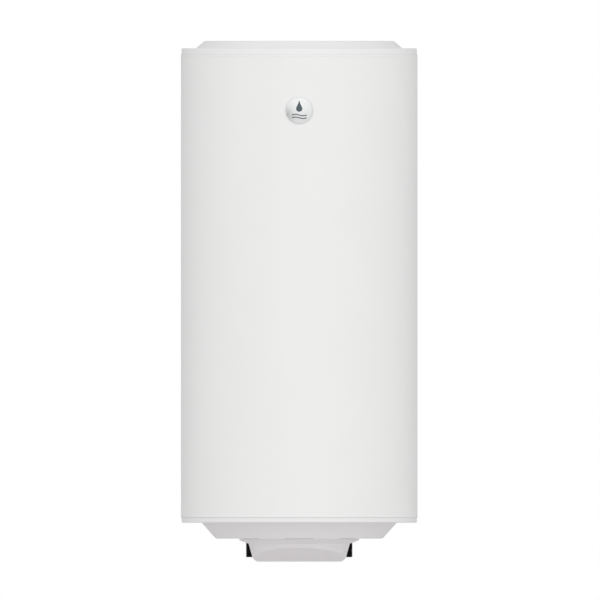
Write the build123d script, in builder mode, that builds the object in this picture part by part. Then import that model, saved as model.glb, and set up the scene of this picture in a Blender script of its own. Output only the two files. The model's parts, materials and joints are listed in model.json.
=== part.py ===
from build123d import *

import os
from math import asin, cos, degrees, sin, sqrt

# Wall-hung electric tank water heater, upright, about 150 litres.
# Millimetres. The origin is the centre of the four wall bolts on the wall's face:
# +X is to the right as seen from the room, +Y goes into the wall and +Z is up.
# A height is counted upwards from the heater's lowest point. A plan position is
# counted from the tank's axis: x to the right, y towards the wall.

os.makedirs("parts", exist_ok=True)

# Whole heater
total_height = 1165.0
jacket_r = 265.0
wall_gap = 22.0
bolt_centre_height = 650.0
bolt_spacing_x = 440.0
bolt_spacing_z = 800.0
fit_gap = 0.1                      # between pieces that are fixed to each other

# Casing
jacket_bottom = 99.0
jacket_top = 1134.1
jacket_wall = 0.8
hem_height = 4.0
hem_depth = 0.4
seam_width = 12.0
seam_depth = 1.0
cap_r = 263.3                      # rim of the top and bottom covers
cap_wall = 2.5
cap_lip = 15.0                     # how far each cover reaches into the jacket
shoulder_height = 1148.5
plateau_base_r = 230.8
plateau_top_r = 211.4
rim_bottom = 87.0
dish_top_r = 218.3
dish_bottom_r = 186.5
dish_bottom = 51.5
well_r = 108.0
well_top = 118.5
foam_gap = 1.0
jacket_hole_r = 13.0               # round a bracket's spacer
pipe_hole_r = 14.2

# Tank: a cylinder with two dished heads, sizes of the inside surface
tank_r = 225.0
tank_wall = 2.0
tank_bottom = 110.0
tank_straight = 815.0
crown_r = 400.0
knuckle_r = 50.0

# Flange and what it carries
neck_r = 52.0
neck_wall = 4.0
neck_top = 116.0
flange_r = 75.0
ring_top = 98.0
ring_bottom = 90.0
gasket_bottom = 87.0
plate_bottom = 81.0
stud_circle_r = 65.0
stud_count = 6
stud_r = 4.0
stud_end = 70.0
stud_chamfer = 0.8
nut_height = 6.5
nut_flat_r = 6.5
sheath_r = 4.2
sheath_stub = 5.0                  # below the plate
hairpin_x = 22.0
hairpin_y = (-38.0, -10.0)
hairpin_top = 380.0
terminal_r = 2.0
terminal_end = 50.0
insulator_r = 5.0
well_tube_r = 7.0
well_tube_bore_r = 5.5
well_tube_top = 350.0
well_tube_stub = 3.0               # below the plate
well_tube_edge = 3.0
probe_r = 4.0
probe_top = 340.0
probe_edge = 2.0
probe_y = -24.0
anode_y = 24.0
anode_r = 13.0
anode_length = 400.0
anode_edge = 2.0
anode_hole_depth = 16.0
anode_stud_depth = 15.0

# Water pipes
pipe_x = 106.1
pipe_y = 110.0
thread_r = 13.22                   # outside of a G 3/4 thread
thread_top = 47.0
nipple_body_r = 13.6               # above the thread
nipple_bore_r = 10.0
nipple_bottom = 10.0
nipple_top = 60.0
tube_r = 13.45
tube_bore_r = 10.8
hot_tube_top = 1075.0
cold_tube_top = 185.0
ring_r = 17.0
ring_height = 4.0
ring_edge = 1.5
nipple_chamfer = 1.0

# Brackets
bracket_half_width = 250.0
bracket_height = 60.0
bracket_t = 3.0
bracket_lip = 5.0
bracket_setback = 12.0             # of the middle from the wall, to clear the bolt heads
bracket_step = (150.0, 165.0)
slot_width = 12.0
slot_length = 20.0
boss_x = 90.0
boss_r = 11.0
bolt_r = 5.0
bolt_hole_r = 5.5
bolt_length = 40.0
bolt_head_flat_r = 8.0
bolt_head_height = 6.4
washer_r = 10.0
washer_bore_r = 5.3
washer_t = 2.0
seal_r = 19.0
seal_t = 4.0

# Badge
badge_height = 1009.0
badge_r = 30.0
badge_rise = 5.0
badge_edge = 1.2
emblem_rise = 0.4
drop_r = 7.0
drop_height = 22.0
drop_centre = 4.5                  # of its round end, above the badge's centre
drop_tip_lean = 0.35
wave_half_length = 17.0
wave_rise = 1.5
wave_width = 2.2
wave_drops = (-10.0, -16.0)        # of the two waves, from the badge's centre

# Wiring cover
cover_top = 51.2
cover_flange_r = 134.0
cover_flange_bottom = 47.9
cover_body_top_r = 113.2
cover_body_top = 40.2
cover_foot_r = 102.1
cover_wall = 2.5
cover_corner_r = 7.0
cover_rim_edge = 1.0
ramp_reach = 108.0                 # plan distance of the ramp's front edge
ramp_height = 30.0
ramp_slope = 0.22
ramp_blend_r = 60.0
screw_x = 124.0
screw_r = 2.1
screw_length = 16.5
screw_head_r = 4.0
screw_head_height = 2.6
screw_head_edge = 1.0
recess_width = 1.0
recess_length = 4.4
recess_depth = 1.5
head_hole_r = 4.3
head_boss_r = 6.3
screw_seat = 47.5
screw_hole_top = 66.0
screw_boss_r = 5.1
screw_boss_top = 68.0

# Cable gland
gland_height = 24.0
gland_seat_y = 112.0               # outer face of the boss that the gland is screwed to
gland_boss_y = 101.5
gland_thread_r = 8.0
gland_bore_r = 6.5
gland_boss_r = 14.0
gland_stem_reach = 7.0             # into the wiring cover, past the boss
gland_flat_r = 10.0
gland_collar = 5.0
gland_tail = 8.0
gland_cap_r = 10.8
gland_cap_length = 13.0
gland_cap_gap = 0.3
gland_cap_edge = 4.0
gland_seal_inset = 1.0
locknut_flat_r = 11.0
locknut_t = 5.0
cable_r = 5.0
cable_hole_r = 5.8

# Thermostat
thermostat_bottom = 30.0
thermostat_top = 60.0
thermostat_half_x = 32.0
thermostat_y = -27.0
thermostat_half_y = 25.0
thermostat_corner_r = 4.0
thermostat_edge = 1.5
pin_socket_r = 2.5
pin_socket_depth = 12.0
running_gap = 0.06
dial_x = -13.0
dial_r = 12.0
dial_t = 5.0
dial_top = 29.7
dial_edge = 1.0
dial_slot_width = 2.2
dial_slot_length = 16.8
dial_slot_depth = 1.8
dial_pointer = 5.0
dial_shaft_r = 3.0
dial_shaft_top = 40.0
dial_bore_top = 42.0
button_x = 17.0
button_r = 4.0
button_bottom = 27.0
button_length = 12.0
button_edge = 1.0
button_bore_top = 46.0

# Terminal block and leads
block_y = 46.0
block_half_x = 22.0
block_half_y = 8.0
block_bottom = 61.0
block_corner_r = 2.0
pole_pitch = 14.0
screw_well_r = 3.2
screw_well_depth = 6.0
terminal_screw_r = 3.0
terminal_screw_sink = 2.0          # of the screw's head below the block's face
terminal_slot_width = 1.0
terminal_slot_depth = 1.2
lead_r = 1.5
lead_height = 66.0
lead_end_height = 46.0
lead_start_run = 16.0
lead_end_run = 12.0
lead_bend_r = 9.0
earth_x = 42.0
earth_start_run = 10.0
earth_end_run = 12.0
earth_bend_r = 7.0
lug_height = 78.0
lug_t = 1.0
lug_r = 4.5
lug_reach = 10.0
lug_barrel_r = 2.2
lug_barrel_length = 6.0
earth_head_flat_r = 3.5
earth_head_height = 3.0
earth_screw_length = 8.0

axis_y = -(wall_gap + jacket_r)
tank_axis = Axis((0, axis_y, 0), (0, 0, 1))
side_plane = Plane.XZ.offset(-axis_y)
anode_bottom = gasket_bottom + 8.0
head_turn = asin((tank_r - knuckle_r) / (crown_r - knuckle_r))
head_height = crown_r - (crown_r - knuckle_r) * cos(head_turn)
bottom_tangent = tank_bottom + head_height
top_tangent = bottom_tangent + tank_straight
tank_top = top_tangent + head_height
pipe_places = [(-pipe_x, pipe_y), (pipe_x, pipe_y)]
screw_places = [(-screw_x, 0), (screw_x, 0)]
bracket_levels = {"upper": bolt_spacing_z / 2, "lower": -bolt_spacing_z / 2}
boss_places = [(x, z) for z in bracket_levels.values() for x in (-boss_x, boss_x)]


def level(height):
    """The z of a height above the heater's lowest point."""
    return height - bolt_centre_height


def plan(height):
    """A horizontal plane at a height, centred on the tank's axis."""
    return Plane((0, axis_y, level(height)))


def profile(*points):
    """Points of a side profile, each a radius and a height, as sketch coordinates."""
    return [(radius, level(height)) for radius, height in points]


# ---- Outlines shared by several pieces ---------------------------------------

roof_points = profile(
    (cap_r, jacket_top - cap_lip),
    (cap_r, shoulder_height),
    (plateau_base_r, shoulder_height),
    (plateau_top_r, total_height),
    (0, total_height),
)
roof_radii = [3, 4, 12]

base_points = profile(
    (cap_r, jacket_bottom + cap_lip),
    (cap_r, rim_bottom),
    (dish_top_r, rim_bottom),
    (dish_bottom_r, dish_bottom),
    (well_r, dish_bottom),
    (well_r, well_top),
)
base_radii = [3, 3, 8, 3]


def head_curve(tangent_height, up, grow):
    """A head's crown and knuckle, grown outwards from its inside; up is 1 or -1."""
    turn = degrees(head_turn)
    crown_z = level(tangent_height) - up * (crown_r - knuckle_r) * cos(head_turn)
    crown_start = 90 - turn if up > 0 else -90
    knuckle_start = 0 if up > 0 else turn - 90
    CenterArc((0, crown_z), crown_r + grow, crown_start, turn)
    CenterArc((tank_r - knuckle_r, level(tangent_height)), knuckle_r + grow, knuckle_start, 90 - turn)


def head_sheet(tangent_height, up):
    """Half the section of a head's steel sheet."""
    with BuildSketch(side_plane) as section:
        with BuildLine():
            apex = tangent_height + up * head_height
            head_curve(tangent_height, up, 0)
            head_curve(tangent_height, up, tank_wall)
            Polyline(*profile((tank_r, tangent_height), (tank_r + tank_wall, tangent_height)))
            Polyline(*profile((0, apex), (0, apex + up * tank_wall)))
        make_face()
    return section.sketch


# The space that the steel tank takes up, for fitting what touches it
with BuildPart() as tank_space:
    with BuildSketch(side_plane):
        with BuildLine():
            grow = tank_wall + fit_gap
            head_curve(top_tangent, 1, grow)
            head_curve(bottom_tangent, -1, grow)
            Polyline(*profile((tank_r + grow, bottom_tangent), (tank_r + grow, top_tangent)))
            Polyline(*profile((0, tank_bottom - grow), (0, tank_top + grow)))
        make_face()
    revolve(axis=tank_axis)

# ---- Casing -------------------------------------------------------------------

sheet_r = jacket_r - hem_depth

with BuildPart() as jacket:
    with BuildSketch(side_plane):
        with BuildLine():
            inner_r = sheet_r - jacket_wall
            Polyline(
                *profile(
                    (inner_r, jacket_bottom),
                    (sheet_r, jacket_bottom),
                    (jacket_r, jacket_bottom + hem_depth),
                    (jacket_r, jacket_bottom + hem_height - hem_depth),
                    (sheet_r, jacket_bottom + hem_height),
                    (sheet_r, jacket_top - hem_height),
                    (jacket_r, jacket_top - hem_height + hem_depth),
                    (jacket_r, jacket_top - hem_depth),
                    (sheet_r, jacket_top),
                    (inner_r, jacket_top),
                ),
                close=True,
            )
        make_face()
    revolve(axis=tank_axis)
    with BuildSketch(plan(jacket_bottom + hem_height)):
        with Locations((0, sheet_r)):
            Rectangle(seam_width, 2 * seam_depth)
    extrude(amount=jacket_top - jacket_bottom - 2 * hem_height)
    with BuildSketch(Plane.XZ):
        with Locations(*boss_places):
            Circle(jacket_hole_r)
    extrude(amount=-axis_y, mode=Mode.SUBTRACT)
jacket.part.label = "jacket"
export_step(jacket.part, "parts/jacket.step")

with BuildPart() as top_cover:
    with BuildSketch(side_plane):
        with BuildLine():
            FilletPolyline(*roof_points, radius=roof_radii)
            offset(amount=cap_wall, side=Side.LEFT)
        make_face()
    revolve(axis=tank_axis)
top_cover.part.label = "top_cover"
export_step(top_cover.part, "parts/top_cover.step")

with BuildPart() as bottom_cover:
    with BuildSketch(side_plane):
        with BuildLine():
            FilletPolyline(*base_points, radius=base_radii)
            offset(amount=cap_wall, side=Side.RIGHT)
        make_face()
    revolve(axis=tank_axis)
    with BuildSketch(plan(dish_bottom)):
        with Locations(*screw_places):
            Circle(screw_boss_r)
    extrude(amount=screw_boss_top - dish_bottom)
    with BuildSketch(plan(dish_bottom)):
        with Locations(*screw_places):
            Circle(screw_r + fit_gap)
    extrude(amount=screw_hole_top - dish_bottom, mode=Mode.SUBTRACT)
    with BuildSketch(plan(dish_bottom)):
        with Locations(*pipe_places):
            Circle(pipe_hole_r)
    extrude(amount=2 * cap_wall, mode=Mode.SUBTRACT)
bottom_cover.part.label = "bottom_cover"
export_step(bottom_cover.part, "parts/bottom_cover.step")

with BuildPart() as insulation:
    with BuildSketch(side_plane):
        foam_depth = cap_wall + foam_gap
        foam_r = sheet_r - jacket_wall - foam_gap
        with BuildLine() as roof:
            FilletPolyline(*roof_points, radius=roof_radii)
            offset(amount=foam_depth, side=Side.LEFT, closed=False)
        with BuildLine() as base:
            FilletPolyline(*base_points, radius=base_radii)
            offset(amount=foam_depth, side=Side.RIGHT, closed=False)
        with BuildLine():
            Polyline(
                *profile(
                    (cap_r - foam_depth, jacket_top - cap_lip),
                    (foam_r, jacket_top - cap_lip),
                    (foam_r, jacket_bottom + cap_lip),
                    (cap_r - foam_depth, jacket_bottom + cap_lip),
                )
            )
            Polyline(
                *profile(
                    (well_r + foam_depth, well_top),
                    (well_r + foam_depth, bottom_tangent),
                    (0, bottom_tangent),
                    (0, total_height - foam_depth),
                )
            )
        make_face()
    revolve(axis=tank_axis)
    add(tank_space.part, mode=Mode.SUBTRACT)
    with BuildSketch(plan(dish_bottom)):
        with Locations(*pipe_places):
            Circle(tube_r + foam_gap)
        with Locations(*screw_places):
            Circle(screw_boss_r + foam_gap)
    extrude(amount=screw_boss_top + foam_gap - dish_bottom, mode=Mode.SUBTRACT)
    with BuildSketch(plan(dish_bottom)):
        with Locations(*pipe_places):
            Circle(tube_r + fit_gap)
    extrude(amount=tank_r / 2, mode=Mode.SUBTRACT)
    with BuildSketch(Plane.XZ):
        with Locations(*boss_places):
            Circle(boss_r + fit_gap)
    extrude(amount=-axis_y / 2, mode=Mode.SUBTRACT)
insulation.part.label = "insulation"
export_step(insulation.part, "parts/insulation.step")

# ---- Tank ---------------------------------------------------------------------

with BuildPart() as tank_shell:
    with BuildSketch(plan(bottom_tangent)):
        Circle(tank_r + tank_wall)
        Circle(tank_r, mode=Mode.SUBTRACT)
    extrude(amount=tank_straight)
tank_shell.part.label = "tank_shell"
export_step(tank_shell.part, "parts/tank_shell.step")

with BuildPart() as tank_top_head:
    add(head_sheet(top_tangent, 1))
    revolve(axis=tank_axis)
tank_top_head.part.label = "tank_top_head"
export_step(tank_top_head.part, "parts/tank_top_head.step")

with BuildPart() as tank_bottom_head:
    add(head_sheet(bottom_tangent, -1))
    revolve(axis=tank_axis)
    with BuildSketch(plan(tank_bottom - 2 * tank_wall)):
        Circle(neck_r + neck_wall + fit_gap)
        with Locations(*pipe_places):
            Circle(tube_r + fit_gap)
    extrude(amount=head_height, mode=Mode.SUBTRACT)
tank_bottom_head.part.label = "tank_bottom_head"
export_step(tank_bottom_head.part, "parts/tank_bottom_head.step")

# ---- Water pipes ----------------------------------------------------------------

with BuildPart() as hot_outlet_tube:
    with BuildSketch(plan(nipple_top)):
        with Locations(pipe_places[0]):
            Circle(tube_r)
            Circle(tube_bore_r, mode=Mode.SUBTRACT)
    extrude(amount=hot_tube_top - nipple_top)
hot_outlet_tube.part.label = "hot_outlet_tube"
export_step(hot_outlet_tube.part, "parts/hot_outlet_tube.step")

with BuildPart() as cold_inlet_tube:
    with BuildSketch(plan(nipple_top)):
        with Locations(pipe_places[1]):
            Circle(tube_r)
            Circle(tube_bore_r, mode=Mode.SUBTRACT)
    extrude(amount=cold_tube_top - nipple_top)
cold_inlet_tube.part.label = "cold_inlet_tube"
export_step(cold_inlet_tube.part, "parts/cold_inlet_tube.step")

# A cap over the cold tube's end, with side windows that turn the water sideways
with BuildPart() as inlet_deflector:
    cap_inner_r = tube_r + fit_gap
    cap_outer_r = cap_inner_r + 2.4
    cap_overlap = 12.0
    window_height = 16.0
    window_edge = 2.0
    with BuildSketch(plan(cold_tube_top - cap_overlap)):
        with Locations(pipe_places[1]):
            Circle(cap_outer_r)
    extrude(amount=cap_overlap + window_height + cap_wall)
    with BuildSketch(plan(cold_tube_top - cap_overlap)):
        with Locations(pipe_places[1]):
            Circle(cap_inner_r)
    extrude(amount=cap_overlap + window_height, mode=Mode.SUBTRACT)
    with BuildSketch(plan(cold_tube_top + window_edge)):
        with Locations(pipe_places[1]):
            Rectangle(3 * cap_outer_r, cap_outer_r)
            Rectangle(cap_outer_r, 3 * cap_outer_r)
    extrude(amount=window_height - 2 * window_edge, mode=Mode.SUBTRACT)
inlet_deflector.part.label = "inlet_deflector"
export_step(inlet_deflector.part, "parts/inlet_deflector.step")

with BuildPart() as hot_nipple:
    with BuildSketch(plan(nipple_bottom)):
        with Locations(pipe_places[0]):
            Circle(thread_r)
    extrude(amount=thread_top - nipple_bottom)
    with BuildSketch(plan(thread_top)):
        with Locations(pipe_places[0]):
            Circle(nipple_body_r)
    extrude(amount=nipple_top - thread_top)
    with BuildSketch(plan(nipple_bottom)):
        with Locations(pipe_places[0]):
            Circle(nipple_bore_r)
    extrude(amount=nipple_top - nipple_bottom, mode=Mode.SUBTRACT)
    chamfer(hot_nipple.faces().sort_by(Axis.Z)[0].outer_wire().edges(), length=nipple_chamfer)
hot_nipple.part.label = "hot_nipple"
export_step(hot_nipple.part, "parts/hot_nipple.step")

with BuildPart() as cold_nipple:
    with BuildSketch(plan(nipple_bottom)):
        with Locations(pipe_places[1]):
            Circle(thread_r)
    extrude(amount=thread_top - nipple_bottom)
    with BuildSketch(plan(thread_top)):
        with Locations(pipe_places[1]):
            Circle(nipple_body_r)
    extrude(amount=nipple_top - thread_top)
    with BuildSketch(plan(nipple_bottom)):
        with Locations(pipe_places[1]):
            Circle(nipple_bore_r)
    extrude(amount=nipple_top - nipple_bottom, mode=Mode.SUBTRACT)
    chamfer(cold_nipple.faces().sort_by(Axis.Z)[0].outer_wire().edges(), length=nipple_chamfer)
cold_nipple.part.label = "cold_nipple"
export_step(cold_nipple.part, "parts/cold_nipple.step")

with BuildPart() as hot_ring:
    with BuildSketch(plan(dish_bottom - fit_gap - ring_height)):
        with Locations(pipe_places[0]):
            Circle(ring_r)
            Circle(nipple_body_r + fit_gap, mode=Mode.SUBTRACT)
    extrude(amount=ring_height)
    fillet(hot_ring.faces().sort_by(Axis.Z)[0].outer_wire().edges(), radius=ring_edge)
hot_ring.part.label = "hot_ring"
export_step(hot_ring.part, "parts/hot_ring.step")

with BuildPart() as cold_ring:
    with BuildSketch(plan(dish_bottom - fit_gap - ring_height)):
        with Locations(pipe_places[1]):
            Circle(ring_r)
            Circle(nipple_body_r + fit_gap, mode=Mode.SUBTRACT)
    extrude(amount=ring_height)
    fillet(cold_ring.faces().sort_by(Axis.Z)[0].outer_wire().edges(), radius=ring_edge)
cold_ring.part.label = "cold_ring"
export_step(cold_ring.part, "parts/cold_ring.step")

# ---- Flange, element, thermowell and anode -------------------------------------

with BuildPart() as flange_neck:
    with BuildSketch(plan(ring_top)):
        Circle(neck_r + neck_wall)
        Circle(neck_r, mode=Mode.SUBTRACT)
    extrude(amount=neck_top - ring_top)
flange_neck.part.label = "flange_neck"
export_step(flange_neck.part, "parts/flange_neck.step")

with BuildPart() as flange_ring:
    with BuildSketch(plan(ring_bottom)):
        Circle(flange_r)
        Circle(neck_r, mode=Mode.SUBTRACT)
        with PolarLocations(stud_circle_r, stud_count):
            Circle(stud_r + fit_gap, mode=Mode.SUBTRACT)
    extrude(amount=ring_top - ring_bottom)
flange_ring.part.label = "flange_ring"
export_step(flange_ring.part, "parts/flange_ring.step")

with BuildPart() as flange_gasket:
    with BuildSketch(plan(gasket_bottom)):
        Circle(flange_r)
        Circle(neck_r, mode=Mode.SUBTRACT)
        with PolarLocations(stud_circle_r, stud_count):
            Circle(stud_r + fit_gap, mode=Mode.SUBTRACT)
    extrude(amount=ring_bottom - gasket_bottom)
flange_gasket.part.label = "flange_gasket"
export_step(flange_gasket.part, "parts/flange_gasket.step")

with BuildPart() as flange_plate:
    with BuildSketch(plan(plate_bottom)):
        Circle(flange_r)
        with PolarLocations(stud_circle_r, stud_count):
            Circle(stud_r + fit_gap, mode=Mode.SUBTRACT)
        with GridLocations(2 * hairpin_x, hairpin_y[1] - hairpin_y[0], 2, 2):
            with Locations((0, sum(hairpin_y) / 2)):
                Circle(sheath_r + fit_gap, mode=Mode.SUBTRACT)
        with Locations((0, probe_y)):
            Circle(well_tube_r + fit_gap, mode=Mode.SUBTRACT)
        with Locations((0, anode_y)):
            Circle(stud_r + fit_gap, mode=Mode.SUBTRACT)
        with Locations((earth_x, 0)):
            Circle(terminal_r + fit_gap, mode=Mode.SUBTRACT)
    extrude(amount=gasket_bottom - plate_bottom)
flange_plate.part.label = "flange_plate"
export_step(flange_plate.part, "parts/flange_plate.step")

with BuildPart() as flange_studs:
    with BuildSketch(plan(stud_end)):
        with PolarLocations(stud_circle_r, stud_count):
            Circle(stud_r)
    extrude(amount=ring_top - stud_end)
    chamfer(flange_studs.faces().group_by(Axis.Z)[0].edges(), length=stud_chamfer)
flange_studs.part.label = "flange_studs"
export_step(flange_studs.part, "parts/flange_studs.step")

with BuildPart() as flange_nuts:
    with BuildSketch(plan(plate_bottom - nut_height)):
        with PolarLocations(stud_circle_r, stud_count):
            RegularPolygon(nut_flat_r, 6, major_radius=False)
            Circle(stud_r + fit_gap, mode=Mode.SUBTRACT)
    extrude(amount=nut_height)
flange_nuts.part.label = "flange_nuts"
export_step(flange_nuts.part, "parts/flange_nuts.step")

with BuildPart() as heating_element:
    sheath_bottom = plate_bottom - sheath_stub
    bend_r = (hairpin_y[1] - hairpin_y[0]) / 2
    bend_z = level(hairpin_top - bend_r)
    for x in (-hairpin_x, hairpin_x):
        front = Vector(x, axis_y + hairpin_y[0], level(sheath_bottom))
        back = Vector(x, axis_y + hairpin_y[1], level(sheath_bottom))
        with BuildLine() as hairpin:
            up = Line(front, (front.X, front.Y, bend_z))
            bend = ThreePointArc(up @ 1, (x, (front.Y + back.Y) / 2, bend_z + bend_r), (x, back.Y, bend_z))
            Line(bend @ 1, back)
        with BuildSketch(Plane(front)):
            Circle(sheath_r)
        sweep(path=hairpin.line)
heating_element.part.label = "heating_element"
export_step(heating_element.part, "parts/heating_element.step")

# Each leg of the element ends in an insulator, with a pin through it
leg_places = [(x, y) for x in (-hairpin_x, hairpin_x) for y in hairpin_y]
insulator_height = 7.0

with BuildPart() as element_terminals:
    with BuildSketch(plan(terminal_end)):
        with Locations(*leg_places):
            Circle(terminal_r)
    extrude(amount=sheath_bottom - terminal_end)
element_terminals.part.label = "element_terminals"
export_step(element_terminals.part, "parts/element_terminals.step")

with BuildPart() as terminal_insulators:
    with BuildSketch(plan(sheath_bottom - insulator_height)):
        with Locations(*leg_places):
            Circle(insulator_r)
            Circle(terminal_r + fit_gap, mode=Mode.SUBTRACT)
    extrude(amount=insulator_height)
terminal_insulators.part.label = "terminal_insulators"
export_step(terminal_insulators.part, "parts/terminal_insulators.step")

with BuildPart() as thermowell:
    with BuildSketch(plan(plate_bottom - well_tube_stub)):
        with Locations((0, probe_y)):
            Circle(well_tube_r)
    extrude(amount=well_tube_top - plate_bottom + well_tube_stub)
    fillet(thermowell.faces().sort_by(Axis.Z)[-1].edges(), radius=well_tube_edge)
    with BuildSketch(plan(plate_bottom - well_tube_stub)):
        with Locations((0, probe_y)):
            Circle(well_tube_bore_r)
    extrude(amount=well_tube_top - plate_bottom, mode=Mode.SUBTRACT)
thermowell.part.label = "thermowell"
export_step(thermowell.part, "parts/thermowell.step")

with BuildPart() as anode_rod:
    with BuildSketch(plan(anode_bottom)):
        with Locations((0, anode_y)):
            Circle(anode_r)
    extrude(amount=anode_length)
    fillet(anode_rod.edges().filter_by(GeomType.CIRCLE), radius=anode_edge)
    with BuildSketch(plan(anode_bottom)):
        with Locations((0, anode_y)):
            Circle(stud_r + fit_gap)
    extrude(amount=anode_hole_depth, mode=Mode.SUBTRACT)
anode_rod.part.label = "anode_rod"
export_step(anode_rod.part, "parts/anode_rod.step")

with BuildPart() as anode_stud:
    with BuildSketch(plan(stud_end)):
        with Locations((0, anode_y)):
            Circle(stud_r)
    extrude(amount=anode_bottom + anode_stud_depth - stud_end)
anode_stud.part.label = "anode_stud"
export_step(anode_stud.part, "parts/anode_stud.step")

with BuildPart() as anode_nut:
    with BuildSketch(plan(plate_bottom - nut_height)):
        with Locations((0, anode_y)):
            RegularPolygon(nut_flat_r, 6, major_radius=False)
            Circle(stud_r + fit_gap, mode=Mode.SUBTRACT)
    extrude(amount=nut_height)
anode_nut.part.label = "anode_nut"
export_step(anode_nut.part, "parts/anode_nut.step")

# ---- Thermostat -----------------------------------------------------------------

with BuildPart() as thermostat_body:
    with BuildSketch(plan(thermostat_bottom)):
        with Locations((0, thermostat_y)):
            RectangleRounded(2 * thermostat_half_x, 2 * thermostat_half_y, thermostat_corner_r)
    extrude(amount=thermostat_top - thermostat_bottom)
    fillet(thermostat_body.faces().sort_by(Axis.Z)[0].edges(), radius=thermostat_edge)
    with BuildSketch(plan(thermostat_bottom)):
        with Locations((dial_x, thermostat_y)):
            Circle(dial_shaft_r + running_gap)
    extrude(amount=dial_bore_top - thermostat_bottom, mode=Mode.SUBTRACT)
    with BuildSketch(plan(thermostat_bottom)):
        with Locations((button_x, thermostat_y)):
            Circle(button_r + running_gap)
    extrude(amount=button_bore_top - thermostat_bottom, mode=Mode.SUBTRACT)
    with BuildSketch(plan(thermostat_top)):
        with Locations(*leg_places):
            Circle(pin_socket_r)
    extrude(amount=-pin_socket_depth, mode=Mode.SUBTRACT)
thermostat_body.part.label = "thermostat_body"
export_step(thermostat_body.part, "parts/thermostat_body.step")

with BuildPart() as thermostat_probe:
    with BuildSketch(plan(thermostat_top + fit_gap)):
        with Locations((0, probe_y)):
            Circle(probe_r)
    extrude(amount=probe_top - thermostat_top - fit_gap)
    fillet(thermostat_probe.faces().sort_by(Axis.Z)[-1].edges(), radius=probe_edge)
thermostat_probe.part.label = "thermostat_probe"
export_step(thermostat_probe.part, "parts/thermostat_probe.step")

with BuildPart() as thermostat_dial:
    with BuildSketch(plan(dial_top - dial_t)):
        with Locations((dial_x, thermostat_y)):
            Circle(dial_r)
    extrude(amount=dial_t)
    chamfer(thermostat_dial.edges().group_by(Axis.Z)[0], length=dial_edge)
    with BuildSketch(plan(dial_top)):
        with Locations((dial_x, thermostat_y)):
            Circle(dial_shaft_r)
    extrude(amount=dial_shaft_top - dial_top)
    with BuildSketch(plan(dial_top - dial_t)):
        with Locations((dial_x, thermostat_y)):
            Rectangle(dial_slot_width, dial_slot_length)
    extrude(amount=dial_slot_depth, mode=Mode.SUBTRACT)
    with BuildSketch(plan(dial_top - dial_t)):
        with Locations((dial_x, thermostat_y - dial_r)):
            Triangle(a=dial_pointer, b=dial_pointer, c=dial_pointer)
    extrude(amount=dial_t, mode=Mode.SUBTRACT)
thermostat_dial.part.label = "thermostat_dial"
export_step(thermostat_dial.part, "parts/thermostat_dial.step")

with BuildPart() as reset_button:
    with BuildSketch(plan(button_bottom)):
        with Locations((button_x, thermostat_y)):
            Circle(button_r)
    extrude(amount=button_length)
    fillet(reset_button.faces().sort_by(Axis.Z)[0].edges(), radius=button_edge)
reset_button.part.label = "reset_button"
export_step(reset_button.part, "parts/reset_button.step")

# ---- Terminal block, leads and earth ----------------------------------------------

pole_places = [(pole_pitch * i, block_y) for i in (-1, 0, 1)]

with BuildPart() as terminal_block:
    with BuildSketch(plan(block_bottom)):
        with Locations((0, block_y)):
            RectangleRounded(2 * block_half_x, 2 * block_half_y, block_corner_r)
    extrude(amount=plate_bottom - fit_gap - block_bottom)
    with BuildSketch(plan(block_bottom)):
        with Locations(*pole_places):
            Circle(screw_well_r)
    extrude(amount=screw_well_depth, mode=Mode.SUBTRACT)
terminal_block.part.label = "terminal_block"
export_step(terminal_block.part, "parts/terminal_block.step")

with BuildPart() as terminal_screws:
    with BuildSketch(plan(block_bottom + terminal_screw_sink)):
        with Locations(*pole_places):
            Circle(terminal_screw_r)
    extrude(amount=screw_well_depth - terminal_screw_sink)
    with BuildSketch(plan(block_bottom + terminal_screw_sink)):
        with Locations(*pole_places):
            Rectangle(terminal_slot_width, 2 * terminal_screw_r)
    extrude(amount=terminal_slot_depth, mode=Mode.SUBTRACT)
terminal_screws.part.label = "terminal_screws"
export_step(terminal_screws.part, "parts/terminal_screws.step")


def lead_path(x):
    """Route of a lead from the terminal block down to the thermostat's rear face."""
    start_y = axis_y + block_y - block_half_y
    end_y = axis_y + thermostat_y + thermostat_half_y
    high = level(lead_height)
    low = level(lead_end_height)
    return [
        (x, start_y, high),
        (x, start_y - lead_start_run, high),
        (x, end_y + lead_end_run, low),
        (x, end_y, low),
    ]


with BuildPart() as live_lead:
    with BuildLine() as live_line:
        FilletPolyline(*lead_path(-pole_pitch), radius=lead_bend_r)
    with BuildSketch(Plane(lead_path(-pole_pitch)[0], z_dir=(0, -1, 0))):
        Circle(lead_r)
    sweep(path=live_line.line)
live_lead.part.label = "live_lead"
export_step(live_lead.part, "parts/live_lead.step")

with BuildPart() as neutral_lead:
    with BuildLine() as neutral_line:
        FilletPolyline(*lead_path(0), radius=lead_bend_r)
    with BuildSketch(Plane(lead_path(0)[0], z_dir=(0, -1, 0))):
        Circle(lead_r)
    sweep(path=neutral_line.line)
neutral_lead.part.label = "neutral_lead"
export_step(neutral_lead.part, "parts/neutral_lead.step")

earth_start_y = axis_y + block_y - block_half_y
earth_end_y = axis_y + lug_reach
earth_points = [
    (pole_pitch, earth_start_y, level(lead_height)),
    (pole_pitch, earth_start_y - earth_start_run, level(lead_height)),
    (earth_x, earth_end_y + earth_end_run, level(lug_height)),
    (earth_x, earth_end_y, level(lug_height)),
]
lug_bottom = lug_height - lug_t / 2

with BuildPart() as earth_lead:
    with BuildLine() as earth_line:
        FilletPolyline(*earth_points, radius=earth_bend_r)
    with BuildSketch(Plane(earth_points[-1], z_dir=(0, 1, 0))):
        Circle(lead_r)
    sweep(path=earth_line.line)
earth_lead.part.label = "earth_lead"
export_step(earth_lead.part, "parts/earth_lead.step")

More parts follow.
